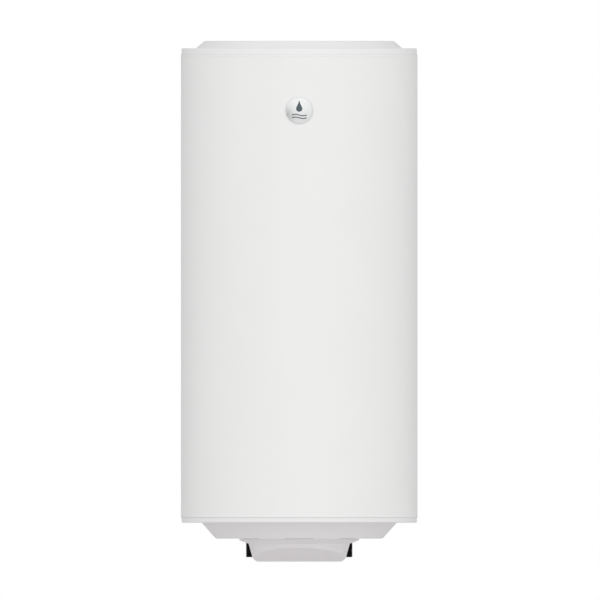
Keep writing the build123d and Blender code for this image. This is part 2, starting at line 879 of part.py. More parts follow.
with BuildPart() as earth_lug:
    with BuildSketch(Plane((earth_x, axis_y, level(lug_bottom)))):
        Circle(lug_r)
        Circle(terminal_r + fit_gap, mode=Mode.SUBTRACT)
    extrude(amount=lug_t)
    with BuildSketch(Plane(earth_points[-1], z_dir=(0, -1, 0))):
        Circle(lug_barrel_r)
    extrude(amount=lug_barrel_length)
earth_lug.part.label = "earth_lug"
export_step(earth_lug.part, "parts/earth_lug.step")

with BuildPart() as earth_screw:
    earth_seat = Plane((earth_x, axis_y, level(lug_bottom - fit_gap)))
    with BuildSketch(earth_seat):
        RegularPolygon(earth_head_flat_r, 6, major_radius=False)
    extrude(amount=-earth_head_height)
    with BuildSketch(earth_seat):
        Circle(terminal_r)
    extrude(amount=earth_screw_length)
earth_screw.part.label = "earth_screw"
export_step(earth_screw.part, "parts/earth_screw.step")

# ---- Wiring cover -----------------------------------------------------------------


def cover_form(inset):
    """The wiring cover's outer form, or the hollow in it where inset is its wall."""
    ramp_front = (0, axis_y - ramp_reach, level(ramp_height))
    ramp = Plane(ramp_front, x_dir=(1, 0, 0), z_dir=(0, ramp_slope, 1))
    half_outline = profile(
        (0, 0),
        (cover_foot_r, 0),
        (cover_body_top_r, cover_body_top),
        (cover_flange_r, cover_flange_bottom),
        (cover_flange_r, cover_top + 2 * cover_wall),
        (0, cover_top + 2 * cover_wall),
    )
    with BuildPart() as form:
        with BuildSketch(side_plane):
            with BuildLine():
                Polyline(*half_outline)
                mirror(about=Plane.YZ)
            make_face()
            if inset:
                offset(amount=-inset, kind=Kind.INTERSECTION)
            with Locations((cover_flange_r, level(cover_top / 2))):
                Rectangle(2 * cover_flange_r, cover_top, mode=Mode.INTERSECT)
        revolve(axis=tank_axis)
        split(bisect_by=ramp.offset(inset), keep=Keep.TOP)
        undersides = form.faces().filter_by(GeomType.PLANE).sort_by(Axis.Z)[:2]
        fillet(undersides.edges().filter_by(GeomType.LINE), radius=ramp_blend_r)
        foot = form.edges().filter_by(lambda edge: edge.center().Z < level(ramp_height + cover_wall))
        fillet(foot.filter_by(GeomType.LINE, reverse=True), radius=cover_corner_r - inset)
    return form.part


def gland_face(distance):
    """A plane across the gland, that far from the tank's axis, facing the wall."""
    return Plane((0, axis_y + distance, level(gland_height)), x_dir=(-1, 0, 0), z_dir=(0, 1, 0))


outer_form = cover_form(0)
hollow_form = cover_form(cover_wall)

with BuildPart() as screw_bosses:
    with BuildSketch(plan(cover_body_top)):
        with Locations(*screw_places):
            Circle(head_boss_r)
    extrude(amount=cover_top - cover_body_top)
    add(outer_form, mode=Mode.INTERSECT)

with BuildPart() as electrical_cover:
    add(outer_form)
    add(hollow_form, mode=Mode.SUBTRACT)
    rim_edges = electrical_cover.edges().filter_by(GeomType.CIRCLE)
    rim_edges = rim_edges.filter_by(lambda edge: edge.radius > cover_flange_r - fit_gap)
    fillet(rim_edges[:2], radius=cover_rim_edge)
    add(screw_bosses.part)
    with BuildSketch(gland_face(gland_boss_y)):
        Circle(gland_boss_r)
    extrude(amount=gland_seat_y - gland_boss_y)
    with BuildSketch(gland_face(gland_seat_y)):
        Circle(gland_thread_r + fit_gap)
    extrude(amount=2 * (gland_boss_y - gland_seat_y), mode=Mode.SUBTRACT)
    with BuildSketch(plan(screw_seat)):
        with Locations(*screw_places):
            Circle(head_hole_r)
    extrude(amount=cover_body_top - screw_seat, mode=Mode.SUBTRACT)
    with BuildSketch(plan(cover_body_top)):
        with Locations(*screw_places):
            Circle(screw_r + fit_gap)
    extrude(amount=2 * cover_top, mode=Mode.SUBTRACT)
electrical_cover.part.label = "electrical_cover"
export_step(electrical_cover.part, "parts/electrical_cover.step")

with BuildPart() as cover_screws:
    head_face = screw_seat - fit_gap - screw_head_height
    with BuildSketch(plan(head_face)):
        with Locations(*screw_places):
            Circle(screw_head_r)
    extrude(amount=screw_head_height)
    fillet(cover_screws.faces().group_by(Axis.Z)[0].edges(), radius=screw_head_edge)
    with BuildSketch(plan(screw_seat - fit_gap)):
        with Locations(*screw_places):
            Circle(screw_r)
    extrude(amount=screw_length)
    with BuildSketch(plan(head_face)):
        with Locations(*screw_places):
            Rectangle(recess_width, recess_length)
            Rectangle(recess_length, recess_width)
    extrude(amount=recess_depth, mode=Mode.SUBTRACT)
cover_screws.part.label = "cover_screws"
export_step(cover_screws.part, "parts/cover_screws.step")

# ---- Cable gland in the back of the wiring cover -----------------------------------

with BuildPart() as gland_body:
    with BuildSketch(gland_face(gland_boss_y - gland_stem_reach)):
        Circle(gland_thread_r)
    extrude(amount=gland_seat_y - gland_boss_y + gland_stem_reach)
    with BuildSketch(gland_face(gland_seat_y)):
        RegularPolygon(gland_flat_r, 6, major_radius=False)
    extrude(amount=gland_collar)
    with BuildSketch(gland_face(gland_seat_y + gland_collar)):
        Circle(gland_thread_r)
    extrude(amount=gland_tail)
    with BuildSketch(gland_face(gland_boss_y - gland_stem_reach)):
        Circle(gland_bore_r)
    extrude(amount=2 * gland_seat_y, mode=Mode.SUBTRACT)
gland_body.part.label = "gland_body"
export_step(gland_body.part, "parts/gland_body.step")

with BuildPart() as gland_locknut:
    with BuildSketch(gland_face(gland_boss_y - fit_gap - locknut_t)):
        RegularPolygon(locknut_flat_r, 6, major_radius=False)
        Circle(gland_thread_r + fit_gap, mode=Mode.SUBTRACT)
    extrude(amount=locknut_t)
gland_locknut.part.label = "gland_locknut"
export_step(gland_locknut.part, "parts/gland_locknut.step")

with BuildPart() as gland_cap:
    cap_start = gland_seat_y + gland_collar + gland_cap_gap
    with BuildSketch(gland_face(cap_start)):
        Circle(gland_cap_r)
    extrude(amount=gland_cap_length)
    fillet(gland_cap.faces().sort_by(Axis.Y)[-1].edges(), radius=gland_cap_edge)
    with BuildSketch(gland_face(cap_start)):
        RegularPolygon(gland_flat_r, 6, major_radius=False)
    extrude(amount=gland_cap_length, mode=Mode.INTERSECT)
    with BuildSketch(gland_face(cap_start)):
        Circle(gland_thread_r + fit_gap)
    extrude(amount=gland_tail + gland_cap_gap, mode=Mode.SUBTRACT)
    with BuildSketch(gland_face(cap_start)):
        Circle(cable_hole_r)
    extrude(amount=gland_cap_length, mode=Mode.SUBTRACT)
gland_cap.part.label = "gland_cap"
export_step(gland_cap.part, "parts/gland_cap.step")

with BuildPart() as gland_seal:
    with BuildSketch(gland_face(gland_seat_y + gland_seal_inset)):
        Circle(gland_bore_r - fit_gap)
        Circle(cable_r, mode=Mode.SUBTRACT)
    extrude(amount=gland_collar + gland_tail - gland_seal_inset)
gland_seal.part.label = "gland_seal"
export_step(gland_seal.part, "parts/gland_seal.step")

# ---- Wall brackets ------------------------------------------------------------------

strap_points = [
    (-bracket_half_width, 0),
    (-bracket_step[1], 0),
    (-bracket_step[0], -bracket_setback),
    (bracket_step[0], -bracket_setback),
    (bracket_step[1], 0),
    (bracket_half_width, 0),
]


def strap(bottom_z, height, depth):
    """A length of the bent strap, with its back on the wall and that deep."""
    with BuildPart() as bar:
        with BuildSketch(Plane.XY.offset(bottom_z)):
            with BuildLine():
                Polyline(*strap_points)
                offset(amount=depth, side=Side.RIGHT, kind=Kind.INTERSECTION)
            make_face()
        extrude(amount=height)
    return bar.part


def bracket_form(centre_z):
    """A strap with a lip along each long edge, wall slots and bolt holes."""
    bottom_z = centre_z - bracket_height / 2
    with BuildPart() as form:
        add(strap(bottom_z, bracket_height, bracket_t))
        add(strap(bottom_z, bracket_t, bracket_t + bracket_lip))
        add(strap(bottom_z + bracket_height - bracket_t, bracket_t, bracket_t + bracket_lip))
        with BuildSketch(Plane.XZ):
            with Locations((-bolt_spacing_x / 2, centre_z), (bolt_spacing_x / 2, centre_z)):
                SlotOverall(slot_length, slot_width)
            with Locations((-boss_x, centre_z), (boss_x, centre_z)):
                Circle(bolt_hole_r)
        extrude(amount=2 * bracket_setback, mode=Mode.SUBTRACT)
    return form.part


with BuildPart() as upper_wall_bracket:
    add(bracket_form(bracket_levels["upper"]))
upper_wall_bracket.part.label = "upper_wall_bracket"
export_step(upper_wall_bracket.part, "parts/upper_wall_bracket.step")

with BuildPart() as lower_wall_bracket:
    add(bracket_form(bracket_levels["lower"]))
lower_wall_bracket.part.label = "lower_wall_bracket"
export_step(lower_wall_bracket.part, "parts/lower_wall_bracket.step")

with BuildPart() as bracket_spacers:
    with BuildSketch(Plane.XZ.offset(bracket_setback + bracket_t + fit_gap)):
        with Locations(*boss_places):
            Circle(boss_r)
    extrude(amount=jacket_r / 2)
    add(tank_space.part, mode=Mode.SUBTRACT)
    with BuildSketch(Plane.XZ):
        with Locations(*boss_places):
            Circle(bolt_r + fit_gap)
    extrude(amount=bracket_setback + bolt_length + washer_t, mode=Mode.SUBTRACT)
bracket_spacers.part.label = "bracket_spacers"
export_step(bracket_spacers.part, "parts/bracket_spacers.step")

with BuildPart() as bracket_washers:
    with BuildSketch(Plane.XZ.offset(bracket_setback - washer_t)):
        with Locations(*boss_places):
            Circle(washer_r)
            Circle(washer_bore_r, mode=Mode.SUBTRACT)
    extrude(amount=washer_t)
bracket_washers.part.label = "bracket_washers"
export_step(bracket_washers.part, "parts/bracket_washers.step")

with BuildPart() as bracket_bolts:
    with BuildSketch(Plane.XZ.offset(bracket_setback - washer_t - bolt_head_height)):
        with Locations(*boss_places):
            RegularPolygon(bolt_head_flat_r, 6, major_radius=False)
    extrude(amount=bolt_head_height)
    with BuildSketch(Plane.XZ.offset(bracket_setback - washer_t)):
        with Locations(*boss_places):
            Circle(bolt_r)
    extrude(amount=bolt_length)
bracket_bolts.part.label = "bracket_bolts"
export_step(bracket_bolts.part, "parts/bracket_bolts.step")

with BuildPart() as seal_shell:
    with BuildSketch(plan(0)):
        Circle(sheet_r + fit_gap + seal_t)
        Circle(sheet_r + fit_gap, mode=Mode.SUBTRACT)
    extrude(amount=total_height)

with BuildPart() as bracket_seals:
    with BuildSketch(Plane.XZ.offset(wall_gap / 2)):
        with Locations(*boss_places):
            Circle(seal_r)
            Circle(boss_r + fit_gap, mode=Mode.SUBTRACT)
    extrude(amount=jacket_r / 2)
    add(seal_shell.part, mode=Mode.INTERSECT)
bracket_seals.part.label = "bracket_seals"
export_step(bracket_seals.part, "parts/bracket_seals.step")

# ---- Badge ----------------------------------------------------------------------------

badge_back_y = axis_y - sheet_r
badge_front_y = badge_back_y - badge_rise
badge_dome_rise = badge_rise - badge_edge
badge_dome_r = (badge_r**2 + badge_dome_rise**2) / (2 * badge_dome_rise)
badge_plane = Plane((0, 0, level(badge_height)))
badge_axis = Axis((0, 0, level(badge_height)), (0, 1, 0))


def badge_form(grow):
    """The badge's domed disc on the jacket, its front raised by grow."""
    dome_r = badge_dome_r + grow
    dome_centre_y = badge_front_y + badge_dome_r
    edge_y = dome_centre_y - sqrt(dome_r**2 - badge_r**2)
    half_angle = asin(badge_r / dome_r) / 2
    dome_middle = (dome_r * sin(half_angle), dome_centre_y - dome_r * cos(half_angle))
    with BuildPart() as form:
        with BuildSketch(badge_plane):
            with BuildLine():
                ThreePointArc((0, dome_centre_y - dome_r), dome_middle, (badge_r, edge_y))
                Polyline(
                    (badge_r, edge_y),
                    (badge_r, badge_back_y + badge_rise),
                    (0, badge_back_y + badge_rise),
                    (0, dome_centre_y - dome_r),
                )
            make_face()
        revolve(axis=badge_axis)
        with BuildSketch(plan(badge_height - 2 * badge_r)):
            Circle(sheet_r + fit_gap)
        extrude(amount=4 * badge_r, mode=Mode.SUBTRACT)
    return form.part


with BuildPart() as badge:
    add(badge_form(0))
badge.part.label = "badge"
export_step(badge.part, "parts/badge.step")

with BuildPart() as badge_emblem:
    with BuildSketch(Plane.XZ.offset(badge_rise - badge_front_y)):
        with BuildLine():
            centre_z = level(badge_height) + drop_centre
            tip = (0, centre_z - drop_r + drop_height)
            right = (drop_r, centre_z)
            left = (-drop_r, centre_z)
            ThreePointArc(right, (0, centre_z - drop_r), left)
            Spline(left, tip, tangents=[(0, 1), (drop_tip_lean, 1)])
            Spline(tip, right, tangents=[(drop_tip_lean, -1), (0, -1)])
        make_face()
        for drop in wave_drops:
            wave_z = level(badge_height) + drop
            with BuildLine():
                Spline(
                    (-wave_half_length, wave_z),
                    (-wave_half_length / 2, wave_z + wave_rise),
                    (0, wave_z),
                    (wave_half_length / 2, wave_z - wave_rise),
                    (wave_half_length, wave_z),
                )
            trace(line_width=wave_width)
    extrude(amount=-3 * badge_rise)
    add(badge_form(emblem_rise), mode=Mode.INTERSECT)
    add(badge_form(0), mode=Mode.SUBTRACT)
badge_emblem.part.label = "badge_emblem"
export_step(badge_emblem.part, "parts/badge_emblem.step")
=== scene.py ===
import json
from math import acos, atan2, cos, pi, radians, sin, sqrt, tan

import bmesh
import bpy
from mathutils import Matrix, Vector

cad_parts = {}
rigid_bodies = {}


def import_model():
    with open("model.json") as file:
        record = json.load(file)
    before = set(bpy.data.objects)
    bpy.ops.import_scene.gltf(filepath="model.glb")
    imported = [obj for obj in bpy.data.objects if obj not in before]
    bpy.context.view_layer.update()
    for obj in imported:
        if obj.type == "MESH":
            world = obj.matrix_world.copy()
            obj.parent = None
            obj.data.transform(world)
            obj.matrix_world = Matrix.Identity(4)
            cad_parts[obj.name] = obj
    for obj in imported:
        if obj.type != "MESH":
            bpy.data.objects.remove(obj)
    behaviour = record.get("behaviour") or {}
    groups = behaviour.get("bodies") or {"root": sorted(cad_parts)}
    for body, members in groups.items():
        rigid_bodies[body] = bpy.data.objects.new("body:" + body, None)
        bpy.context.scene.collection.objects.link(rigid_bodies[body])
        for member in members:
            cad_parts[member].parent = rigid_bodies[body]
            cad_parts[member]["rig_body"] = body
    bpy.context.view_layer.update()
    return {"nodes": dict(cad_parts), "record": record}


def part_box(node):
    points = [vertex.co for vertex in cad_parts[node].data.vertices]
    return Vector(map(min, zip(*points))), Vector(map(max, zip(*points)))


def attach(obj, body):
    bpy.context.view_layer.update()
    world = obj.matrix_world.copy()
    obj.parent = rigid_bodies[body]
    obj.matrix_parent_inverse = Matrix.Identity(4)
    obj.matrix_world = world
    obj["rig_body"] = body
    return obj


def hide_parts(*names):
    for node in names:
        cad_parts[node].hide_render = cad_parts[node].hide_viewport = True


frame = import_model()

# A wall-hung electric tank water heater. Lengths are millimetres, apart from those
# of the camera and of the materials' waves: x and y are counted from the tank's axis,
# y towards the wall, and a height is counted upwards from the heater's lowest point.
# solid() and threaded() turn them into metres of the shared frame.

MM = 0.001
TINY = 1e-6

# The gap between pieces that fit together, and how far a cutting tool runs past a face.
CLEAR = 0.1
OVERRUN = 1.0

cap_low, cap_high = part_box("top_cover")
cover_low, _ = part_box("electrical_cover")
ORIGIN = Vector(((cap_low.x + cap_high.x) / 2, (cap_low.y + cap_high.y) / 2, cover_low.z))
WALL_Y = -ORIGIN.y / MM
TO_FRAME = Matrix.Translation(ORIGIN) @ Matrix.Scale(MM, 4)
UPRIGHT = Matrix.Identity(4)
TOWARDS_WALL = Matrix.Rotation(-pi / 2, 4, "X")
TOWARDS_ROOM = Matrix.Rotation(pi / 2, 4, "X")


def at(x, y, height, turn=UPRIGHT):
    """A placing of a piece whose own Z runs upwards, or along a turned direction."""
    return Matrix.Translation((x, y, height)) @ turn


# ---- Camera and light --------------------------------------------------------------

VIEW_HEIGHT_M = 1.3423
CAMERA_PLACE_M = (0.00175, -4, -0.0647)

camera_data = bpy.data.cameras.new("camera")
camera_data.type = "ORTHO"
camera_data.ortho_scale = VIEW_HEIGHT_M
camera_data.clip_end = 20
camera = bpy.data.objects.new("camera", camera_data)
camera.location = CAMERA_PLACE_M
camera.rotation_euler = (pi / 2, 0, 0)
bpy.context.scene.collection.objects.link(camera)
bpy.context.scene.camera = camera
bpy.context.scene.view_settings.view_transform = "Standard"


def feed(tree, socket, value):
    """Links an input to another node's output, or sets it to a value."""
    if isinstance(value, bpy.types.NodeSocket):
        tree.links.new(value, socket)
    else:
        socket.default_value = value


def add_node(tree, kind, **inputs):
    """A shader node with its inputs set to values, or linked where they are sockets."""
    node = tree.nodes.new("ShaderNode" + kind)
    for name, value in inputs.items():
        feed(tree, node.inputs[name.replace("_", " ")], value)
    return node


def calculate(tree, operation, *values, kind="Math", output=0):
    """The result of a maths node, or of a vector maths node."""
    node = tree.nodes.new("ShaderNode" + kind)
    node.operation = operation
    for socket, value in zip(node.inputs, values):
        feed(tree, socket, value)
    return node.outputs[output]


def measure(tree, operation, *vectors):
    """The number that a vector maths node gives."""
    return calculate(tree, operation, *vectors, kind="VectorMath", output="Value")


def mixed(tree, amount, first, second):
    """Two shaders, mixed by an amount."""
    mix = tree.nodes.new("ShaderNodeMixShader")
    for socket, value in zip(mix.inputs, (amount, first, second)):
        tree.links.new(value, socket)
    return mix.outputs[0]


# The studio's light by direction: an even share, a share that grows with height, and
# lobes of (direction, sharpness, strength). The last lobe takes light away: the badge's
# dome reflects it as the darker left side that it has in the photograph.
AMBIENT = 0.15
UP_SHARE = 0.06
SOFTBOXES = (
    ((0.75, -0.66, 0.22), 1, 0.83),
    ((-0.75, -0.66, 0.22), 1, 0.85),
    ((0.0, -0.55, 0.83), 1, 0.17),
    ((0.0, 1.0, 0.25), 1, 0.35),
    ((0.0, 0.15, -0.99), 1, 0.46),
    ((-0.48, -0.86, -0.14), 40, -0.95),
)


def soft_studio():
    """An even grey studio with broad soft lights, and white where the camera sees it."""
    world = bpy.data.worlds.new("studio")
    bpy.context.scene.world = world
    world.use_nodes = True
    tree = world.node_tree
    tree.nodes.clear()
    direction = add_node(tree, "TexCoord").outputs["Generated"]
    height = add_node(tree, "SeparateXYZ", Vector=direction).outputs["Z"]
    total = calculate(tree, "MULTIPLY_ADD", height, UP_SHARE, AMBIENT)
    for way, sharpness, strength in SOFTBOXES:
        along = measure(tree, "DOT_PRODUCT", direction, Vector(way).normalized())
        facing = calculate(tree, "MAXIMUM", along, 0.0)
        lobe = calculate(tree, "POWER", facing, float(sharpness))
        total = calculate(tree, "MULTIPLY_ADD", lobe, strength, total)
    seen = add_node(tree, "LightPath").outputs["Is Camera Ray"]
    lit = add_node(tree, "Background", Color=(1, 1, 1, 1), Strength=total)
    white = add_node(tree, "Background", Color=(1, 1, 1, 1), Strength=1.0)
    add_node(tree, "OutputWorld", Surface=mixed(tree, seen, lit.outputs[0], white.outputs[0]))


soft_studio()

# ---- Materials ---------------------------------------------------------------------

# The reach of nearly all of a noise's values.
NOISE_LOW, NOISE_HIGH = 0.3, 0.7


def noise(tree, place, waves, detail=2.0, stretch=(1, 1, 1)):
    """A noise of so many waves to the metre, stretched along an axis where that is under 1."""
    if stretch != (1, 1, 1):
        mapping = add_node(tree, "Mapping", Vector=place, Scale=stretch)
        place = mapping.outputs["Vector"]
    return add_node(tree, "TexNoise", Vector=place, Scale=waves, Detail=detail).outputs["Fac"]


def colours(tree, amount, stops):
    """A colour that runs through stops of (place, colour)."""
    ramp = add_node(tree, "ValToRGB", Fac=amount)
    elements = ramp.color_ramp.elements
    while len(elements) < len(stops):
        elements.new(0.5)
    for element, (position, colour) in zip(elements, stops):
        element.position = position
        element.color = (*colour, 1)
    return ramp.outputs["Color"]


def spread(tree, amount, low, high):
    """A noise's usual reach run out between two values."""
    return add_node(
        tree, "MapRange", Value=amount, From_Min=NOISE_LOW, From_Max=NOISE_HIGH,
        To_Min=low, To_Max=high,
    ).outputs["Result"]


def shade(colour, factor):
    return tuple(min(channel * factor, 1) for channel in colour)


finishes = {}


def finish(
    name,
    colour,
    drift=0.03,
    patch=20.0,
    roughness=(0.40, 0.48),
    grain=1500.0,
    bump=0.1,
    depth=0.05,
    stretch=(1, 1, 1),
    **uniform,
):
    """A surface whose colour and roughness drift a little and which has a fine grain.

    It is kept under its name, which is the record's material slot. patch and grain are
    waves to the metre, and depth is the grain's height.
    """
    material = bpy.data.materials.new(name)
    material.use_nodes = True
    tree = material.node_tree
    shader = tree.nodes["Principled BSDF"]
    place = add_node(tree, "TexCoord").outputs["Object"]
    patches = noise(tree, place, patch, 3.0)
    darker, lighter = shade(colour, 1 - drift), shade(colour, 1 + drift)
    tint = colours(tree, patches, ((NOISE_LOW, darker), (NOISE_HIGH, lighter)))
    tree.links.new(tint, shader.inputs["Base Color"])
    worn = spread(tree, noise(tree, place, patch * 2.7, 3.0), *roughness)
    tree.links.new(worn, shader.inputs["Roughness"])
    fine = noise(tree, place, grain, 2.0, stretch)
    raised = add_node(tree, "Bump", Height=fine, Strength=bump, Distance=depth * MM)
    tree.links.new(raised.outputs["Normal"], shader.inputs["Normal"])
    for socket, value in uniform.items():
        shader.inputs[socket.replace("_", " ")].default_value = value
    finishes[name] = material
    return material


def spangled(name, colour):
    """Galvanised steel, whose zinc has set in crystals of different greys."""
    material = finish(name, colour, roughness=(0.38, 0.5), grain=900, bump=0.15, Metallic=0.9)
    tree = material.node_tree
    shader = tree.nodes["Principled BSDF"]
    place = add_node(tree, "TexCoord").outputs["Object"]
    wavy = add_node(tree, "TexNoise", Vector=place, Scale=120.0, Detail=2.0).outputs["Color"]
    reach_m = (0.004, 0.004, 0.004)
    nudged = calculate(tree, "MULTIPLY_ADD", wavy, reach_m, place, kind="VectorMath")
    crystals = add_node(tree, "TexVoronoi", Vector=nudged, Scale=110.0)
    flake = add_node(tree, "SeparateColor", Color=crystals.outputs["Color"])
    tint = colours(
        tree,
        flake.outputs["Red"],
        ((0.0, shade(colour, 0.78)), (0.5, colour), (1.0, shade(colour, 1.18))),
    )
    tree.links.new(tint, shader.inputs["Base Color"])
    rough = add_node(
        tree, "MapRange", Value=flake.outputs["Green"], To_Min=0.30, To_Max=0.52
    ).outputs["Result"]
    tree.links.new(rough, shader.inputs["Roughness"])
    return material


def striped(name, colour, stripe):
    """An earth wire's insulation: two stripes of a second colour, one on each side."""
    material = finish(name, colour, roughness=(0.38, 0.46), grain=3000)
    tree = material.node_tree
    shader = tree.nodes["Principled BSDF"]
    place = add_node(tree, "TexCoord").outputs["Object"]
    normal = add_node(tree, "NewGeometry").outputs["Normal"]
    side = add_node(tree, "SeparateXYZ", Vector=normal).outputs["Z"]
    waver = calculate(tree, "MULTIPLY_ADD", noise(tree, place, 200.0), 0.2, side)
    band = calculate(tree, "ABSOLUTE", waver)
    tint = colours(tree, band, ((0.52, colour), (0.56, stripe)))
    tree.links.new(tint, shader.inputs["Base Color"])
    return material


finish(
    "casing_enamel", (0.80, 0.80, 0.795), drift=0.006, patch=9, roughness=(0.34, 0.40),
    grain=420, bump=0.12, depth=0.03, Specular_IOR_Level=0.4,
)
finish(
    "cover_plastic", (0.800, 0.792, 0.794), drift=0.008, patch=14, roughness=(0.42, 0.50),
    grain=2600, bump=0.10, depth=0.03,
)
finish(
    "wiring_cover_plastic", (0.815, 0.795, 0.801), drift=0.01, patch=16,
    roughness=(0.40, 0.50), grain=2200, bump=0.16, depth=0.04,
)
finish(
    "foam", (0.80, 0.66, 0.32), drift=0.12, patch=60, roughness=(0.85, 0.95),
    grain=700, bump=0.7, depth=0.6,
)
finish(
    "badge_silver", (0.665, 0.67, 0.672), drift=0.015, patch=80, roughness=(0.26, 0.34),
    grain=6000, bump=0.08, depth=0.01, Metallic=0.85,
)
finish(
    "emblem_slate", (0.060, 0.085, 0.095), drift=0.10, patch=300, roughness=(0.35, 0.45),
    grain=5000, bump=0.10, depth=0.02,
)
spangled("bracket_steel", (0.56, 0.57, 0.58))
finish(
    "zinc_steel", (0.62, 0.61, 0.56), drift=0.10, patch=160, roughness=(0.26, 0.42),
    grain=3500, bump=0.15, depth=0.02, Metallic=0.95,
)
finish(
    "seal_rubber", (0.022, 0.022, 0.023), drift=0.25, patch=120, roughness=(0.70, 0.85),
    grain=2500, bump=0.3, depth=0.05,
)
finish(
    "tank_enamel", (0.025, 0.055, 0.12), drift=0.20, patch=40, roughness=(0.12, 0.24),
    grain=500, bump=0.2, depth=0.08, Coat_Weight=0.5,
)
finish(
    "plain_steel", (0.42, 0.41, 0.40), drift=0.14, patch=70, roughness=(0.35, 0.55),
    grain=1800, bump=0.25, depth=0.03, Metallic=0.9,
)
finish(
    "stainless", (0.60, 0.585, 0.56), drift=0.05, patch=60, roughness=(0.22, 0.34),
    grain=2600, bump=0.2, depth=0.02, stretch=(1, 1, 0.06), Metallic=1.0,
)
finish(
    "magnesium", (0.46, 0.46, 0.44), drift=0.15, patch=90, roughness=(0.5, 0.7),
    grain=1200, bump=0.4, depth=0.08, Metallic=0.7,
)
finish(
    "brass", (0.66, 0.47, 0.19), drift=0.08, patch=150, roughness=(0.24, 0.40),
    grain=3500, bump=0.15, depth=0.02, Metallic=1.0,
)
finish(
    "ceramic_white", (0.78, 0.75, 0.68), drift=0.04, patch=180, roughness=(0.45, 0.60),
    grain=3000, bump=0.25, depth=0.04,
)
finish(
    "black_plastic", (0.0035, 0.0035, 0.0036), drift=0.2, patch=120, roughness=(0.55, 0.70),
    grain=2600, bump=0.2, depth=0.03, Specular_IOR_Level=0.18,
)
finish(
    "hot_red", (0.52, 0.020, 0.014), drift=0.06, patch=150, roughness=(0.40, 0.52),
    grain=2600, bump=0.12, depth=0.02,
)
finish(
    "cold_blue", (0.012, 0.075, 0.46), drift=0.06, patch=150, roughness=(0.40, 0.52),
    grain=2600, bump=0.12, depth=0.02,
)
finish(
    "deflector_plastic", (0.70, 0.70, 0.62), drift=0.03, patch=120, roughness=(0.45, 0.55),
    grain=2000, bump=0.12, depth=0.03,
)
finish(
    "dial_plastic", (0.70, 0.70, 0.68), drift=0.02, patch=200, roughness=(0.38, 0.48),
    grain=3200, bump=0.12, depth=0.02,
)
finish(
    "button_red", (0.55, 0.012, 0.010), drift=0.05, patch=260, roughness=(0.30, 0.40),
    grain=3000, bump=0.08, depth=0.02,
)
finish(
    "block_plastic", (0.76, 0.74, 0.66), drift=0.03, patch=160, roughness=(0.45, 0.58),
    grain=2800, bump=0.16, depth=0.03,
)
finish(
    "live_brown", (0.085, 0.028, 0.012), drift=0.08, patch=200, roughness=(0.38, 0.48),
    grain=3000, bump=0.1, depth=0.02,
)
finish(
    "neutral_blue", (0.012, 0.075, 0.42), drift=0.08, patch=200, roughness=(0.38, 0.48),
    grain=3000, bump=0.1, depth=0.02,
)
striped("earth_green", (0.02, 0.20, 0.03), (0.62, 0.56, 0.02))
finish(
    "gland_plastic", (0.55, 0.55, 0.56), drift=0.03, patch=160, roughness=(0.45, 0.56),
    grain=3000, bump=0.18, depth=0.03,
)

# ---- Mesh making -------------------------------------------------------------------

# Corners of a round piece, by its size.
FINE = 192
MEDIUM = 64
SMALL = 32
ARC_STEPS = 6
WELD = 0.004
HEX_CHAMFER = pi / 6
THREAD_DEPTH = 0.6


def solid(name, verts, faces):
    """An object of a closed mesh given in millimetres."""
    mesh = bpy.data.meshes.new(name)
    mesh.from_pydata([TO_FRAME @ Vector(v) for v in verts], [], faces)
    work = bmesh.new()
    work.from_mesh(mesh)
    bmesh.ops.recalc_face_normals(work, faces=work.faces)
    work.to_mesh(mesh)
    work.free()
    thing = bpy.data.objects.new(name, mesh)
    bpy.context.scene.collection.objects.link(thing)
    return thing


def evenly(turns):
    return [2 * pi * step / turns for step in range(turns)]


def turned(name, section_at, angles, place=UPRIGHT):
    """A closed solid of revolution, whose outline of (radius, height) may change with the angle."""
    sections = [section_at(angle) for angle in angles]
    verts, index = [], []
    for row, (radius, height) in enumerate(sections[0]):
        if radius < TINY:
            index.append([len(verts)] * len(angles))
            verts.append(place @ Vector((0, 0, height)))
            continue
        index.append(range(len(verts), len(verts) + len(angles)))
        for section, angle in zip(sections, angles):
            radius, height = section[row]
            verts.append(place @ Vector((radius * cos(angle), radius * sin(angle), height)))
    faces = []
    for here, there in zip(index, index[1:] + index[:1]):
        for step in range(len(angles)):
            following = (step + 1) % len(angles)
            corners = (here[step], here[following], there[following], there[step])
            corners = list(dict.fromkeys(corners))
            if len(corners) > 2:
                faces.append(corners)
    return solid(name, verts, faces)


def lathe(name, outline, place=UPRIGHT, turns=MEDIUM):
    return turned(name, lambda angle: outline, evenly(turns), place)


def rod(name, radius, low, high, place=UPRIGHT, turns=SMALL, edge=0.0):
    """A round bar along its own Z, its ends chamfered where an edge is given."""
    outline = [(0, low), (radius, low), (radius, high), (0, high)]
    if edge:
        outline[1:3] = [
            (radius - edge, low), (radius, low + edge),
            (radius, high - edge), (radius - edge, high),
        ]
    return lathe(name, outline, place, turns)


def tube(name, inner, outer, low, high, place, edge):
    """A pipe along its own Z, its four edges chamfered."""
    outline = [
        (inner, low + edge), (inner + edge, low), (outer - edge, low), (outer, low + edge),
        (outer, high - edge), (outer - edge, high), (inner + edge, high), (inner, high - edge),
    ]
    return lathe(name, outline, place)


def lofted(name, stations, place=UPRIGHT):
    """A closed solid over a row of loops of points, flat at both ends."""
    count = len(stations[0])
    verts = [place @ Vector(point) for loop in stations for point in loop]
    faces = [list(range(count)), list(range(len(verts) - count, len(verts)))]
    for step in range(len(stations) - 1):
        for corner in range(count):
            following = (corner + 1) % count
            here = step * count
            there = here + count
            faces.append([here + corner, here + following, there + following, there + corner])
    return solid(name, verts, faces)


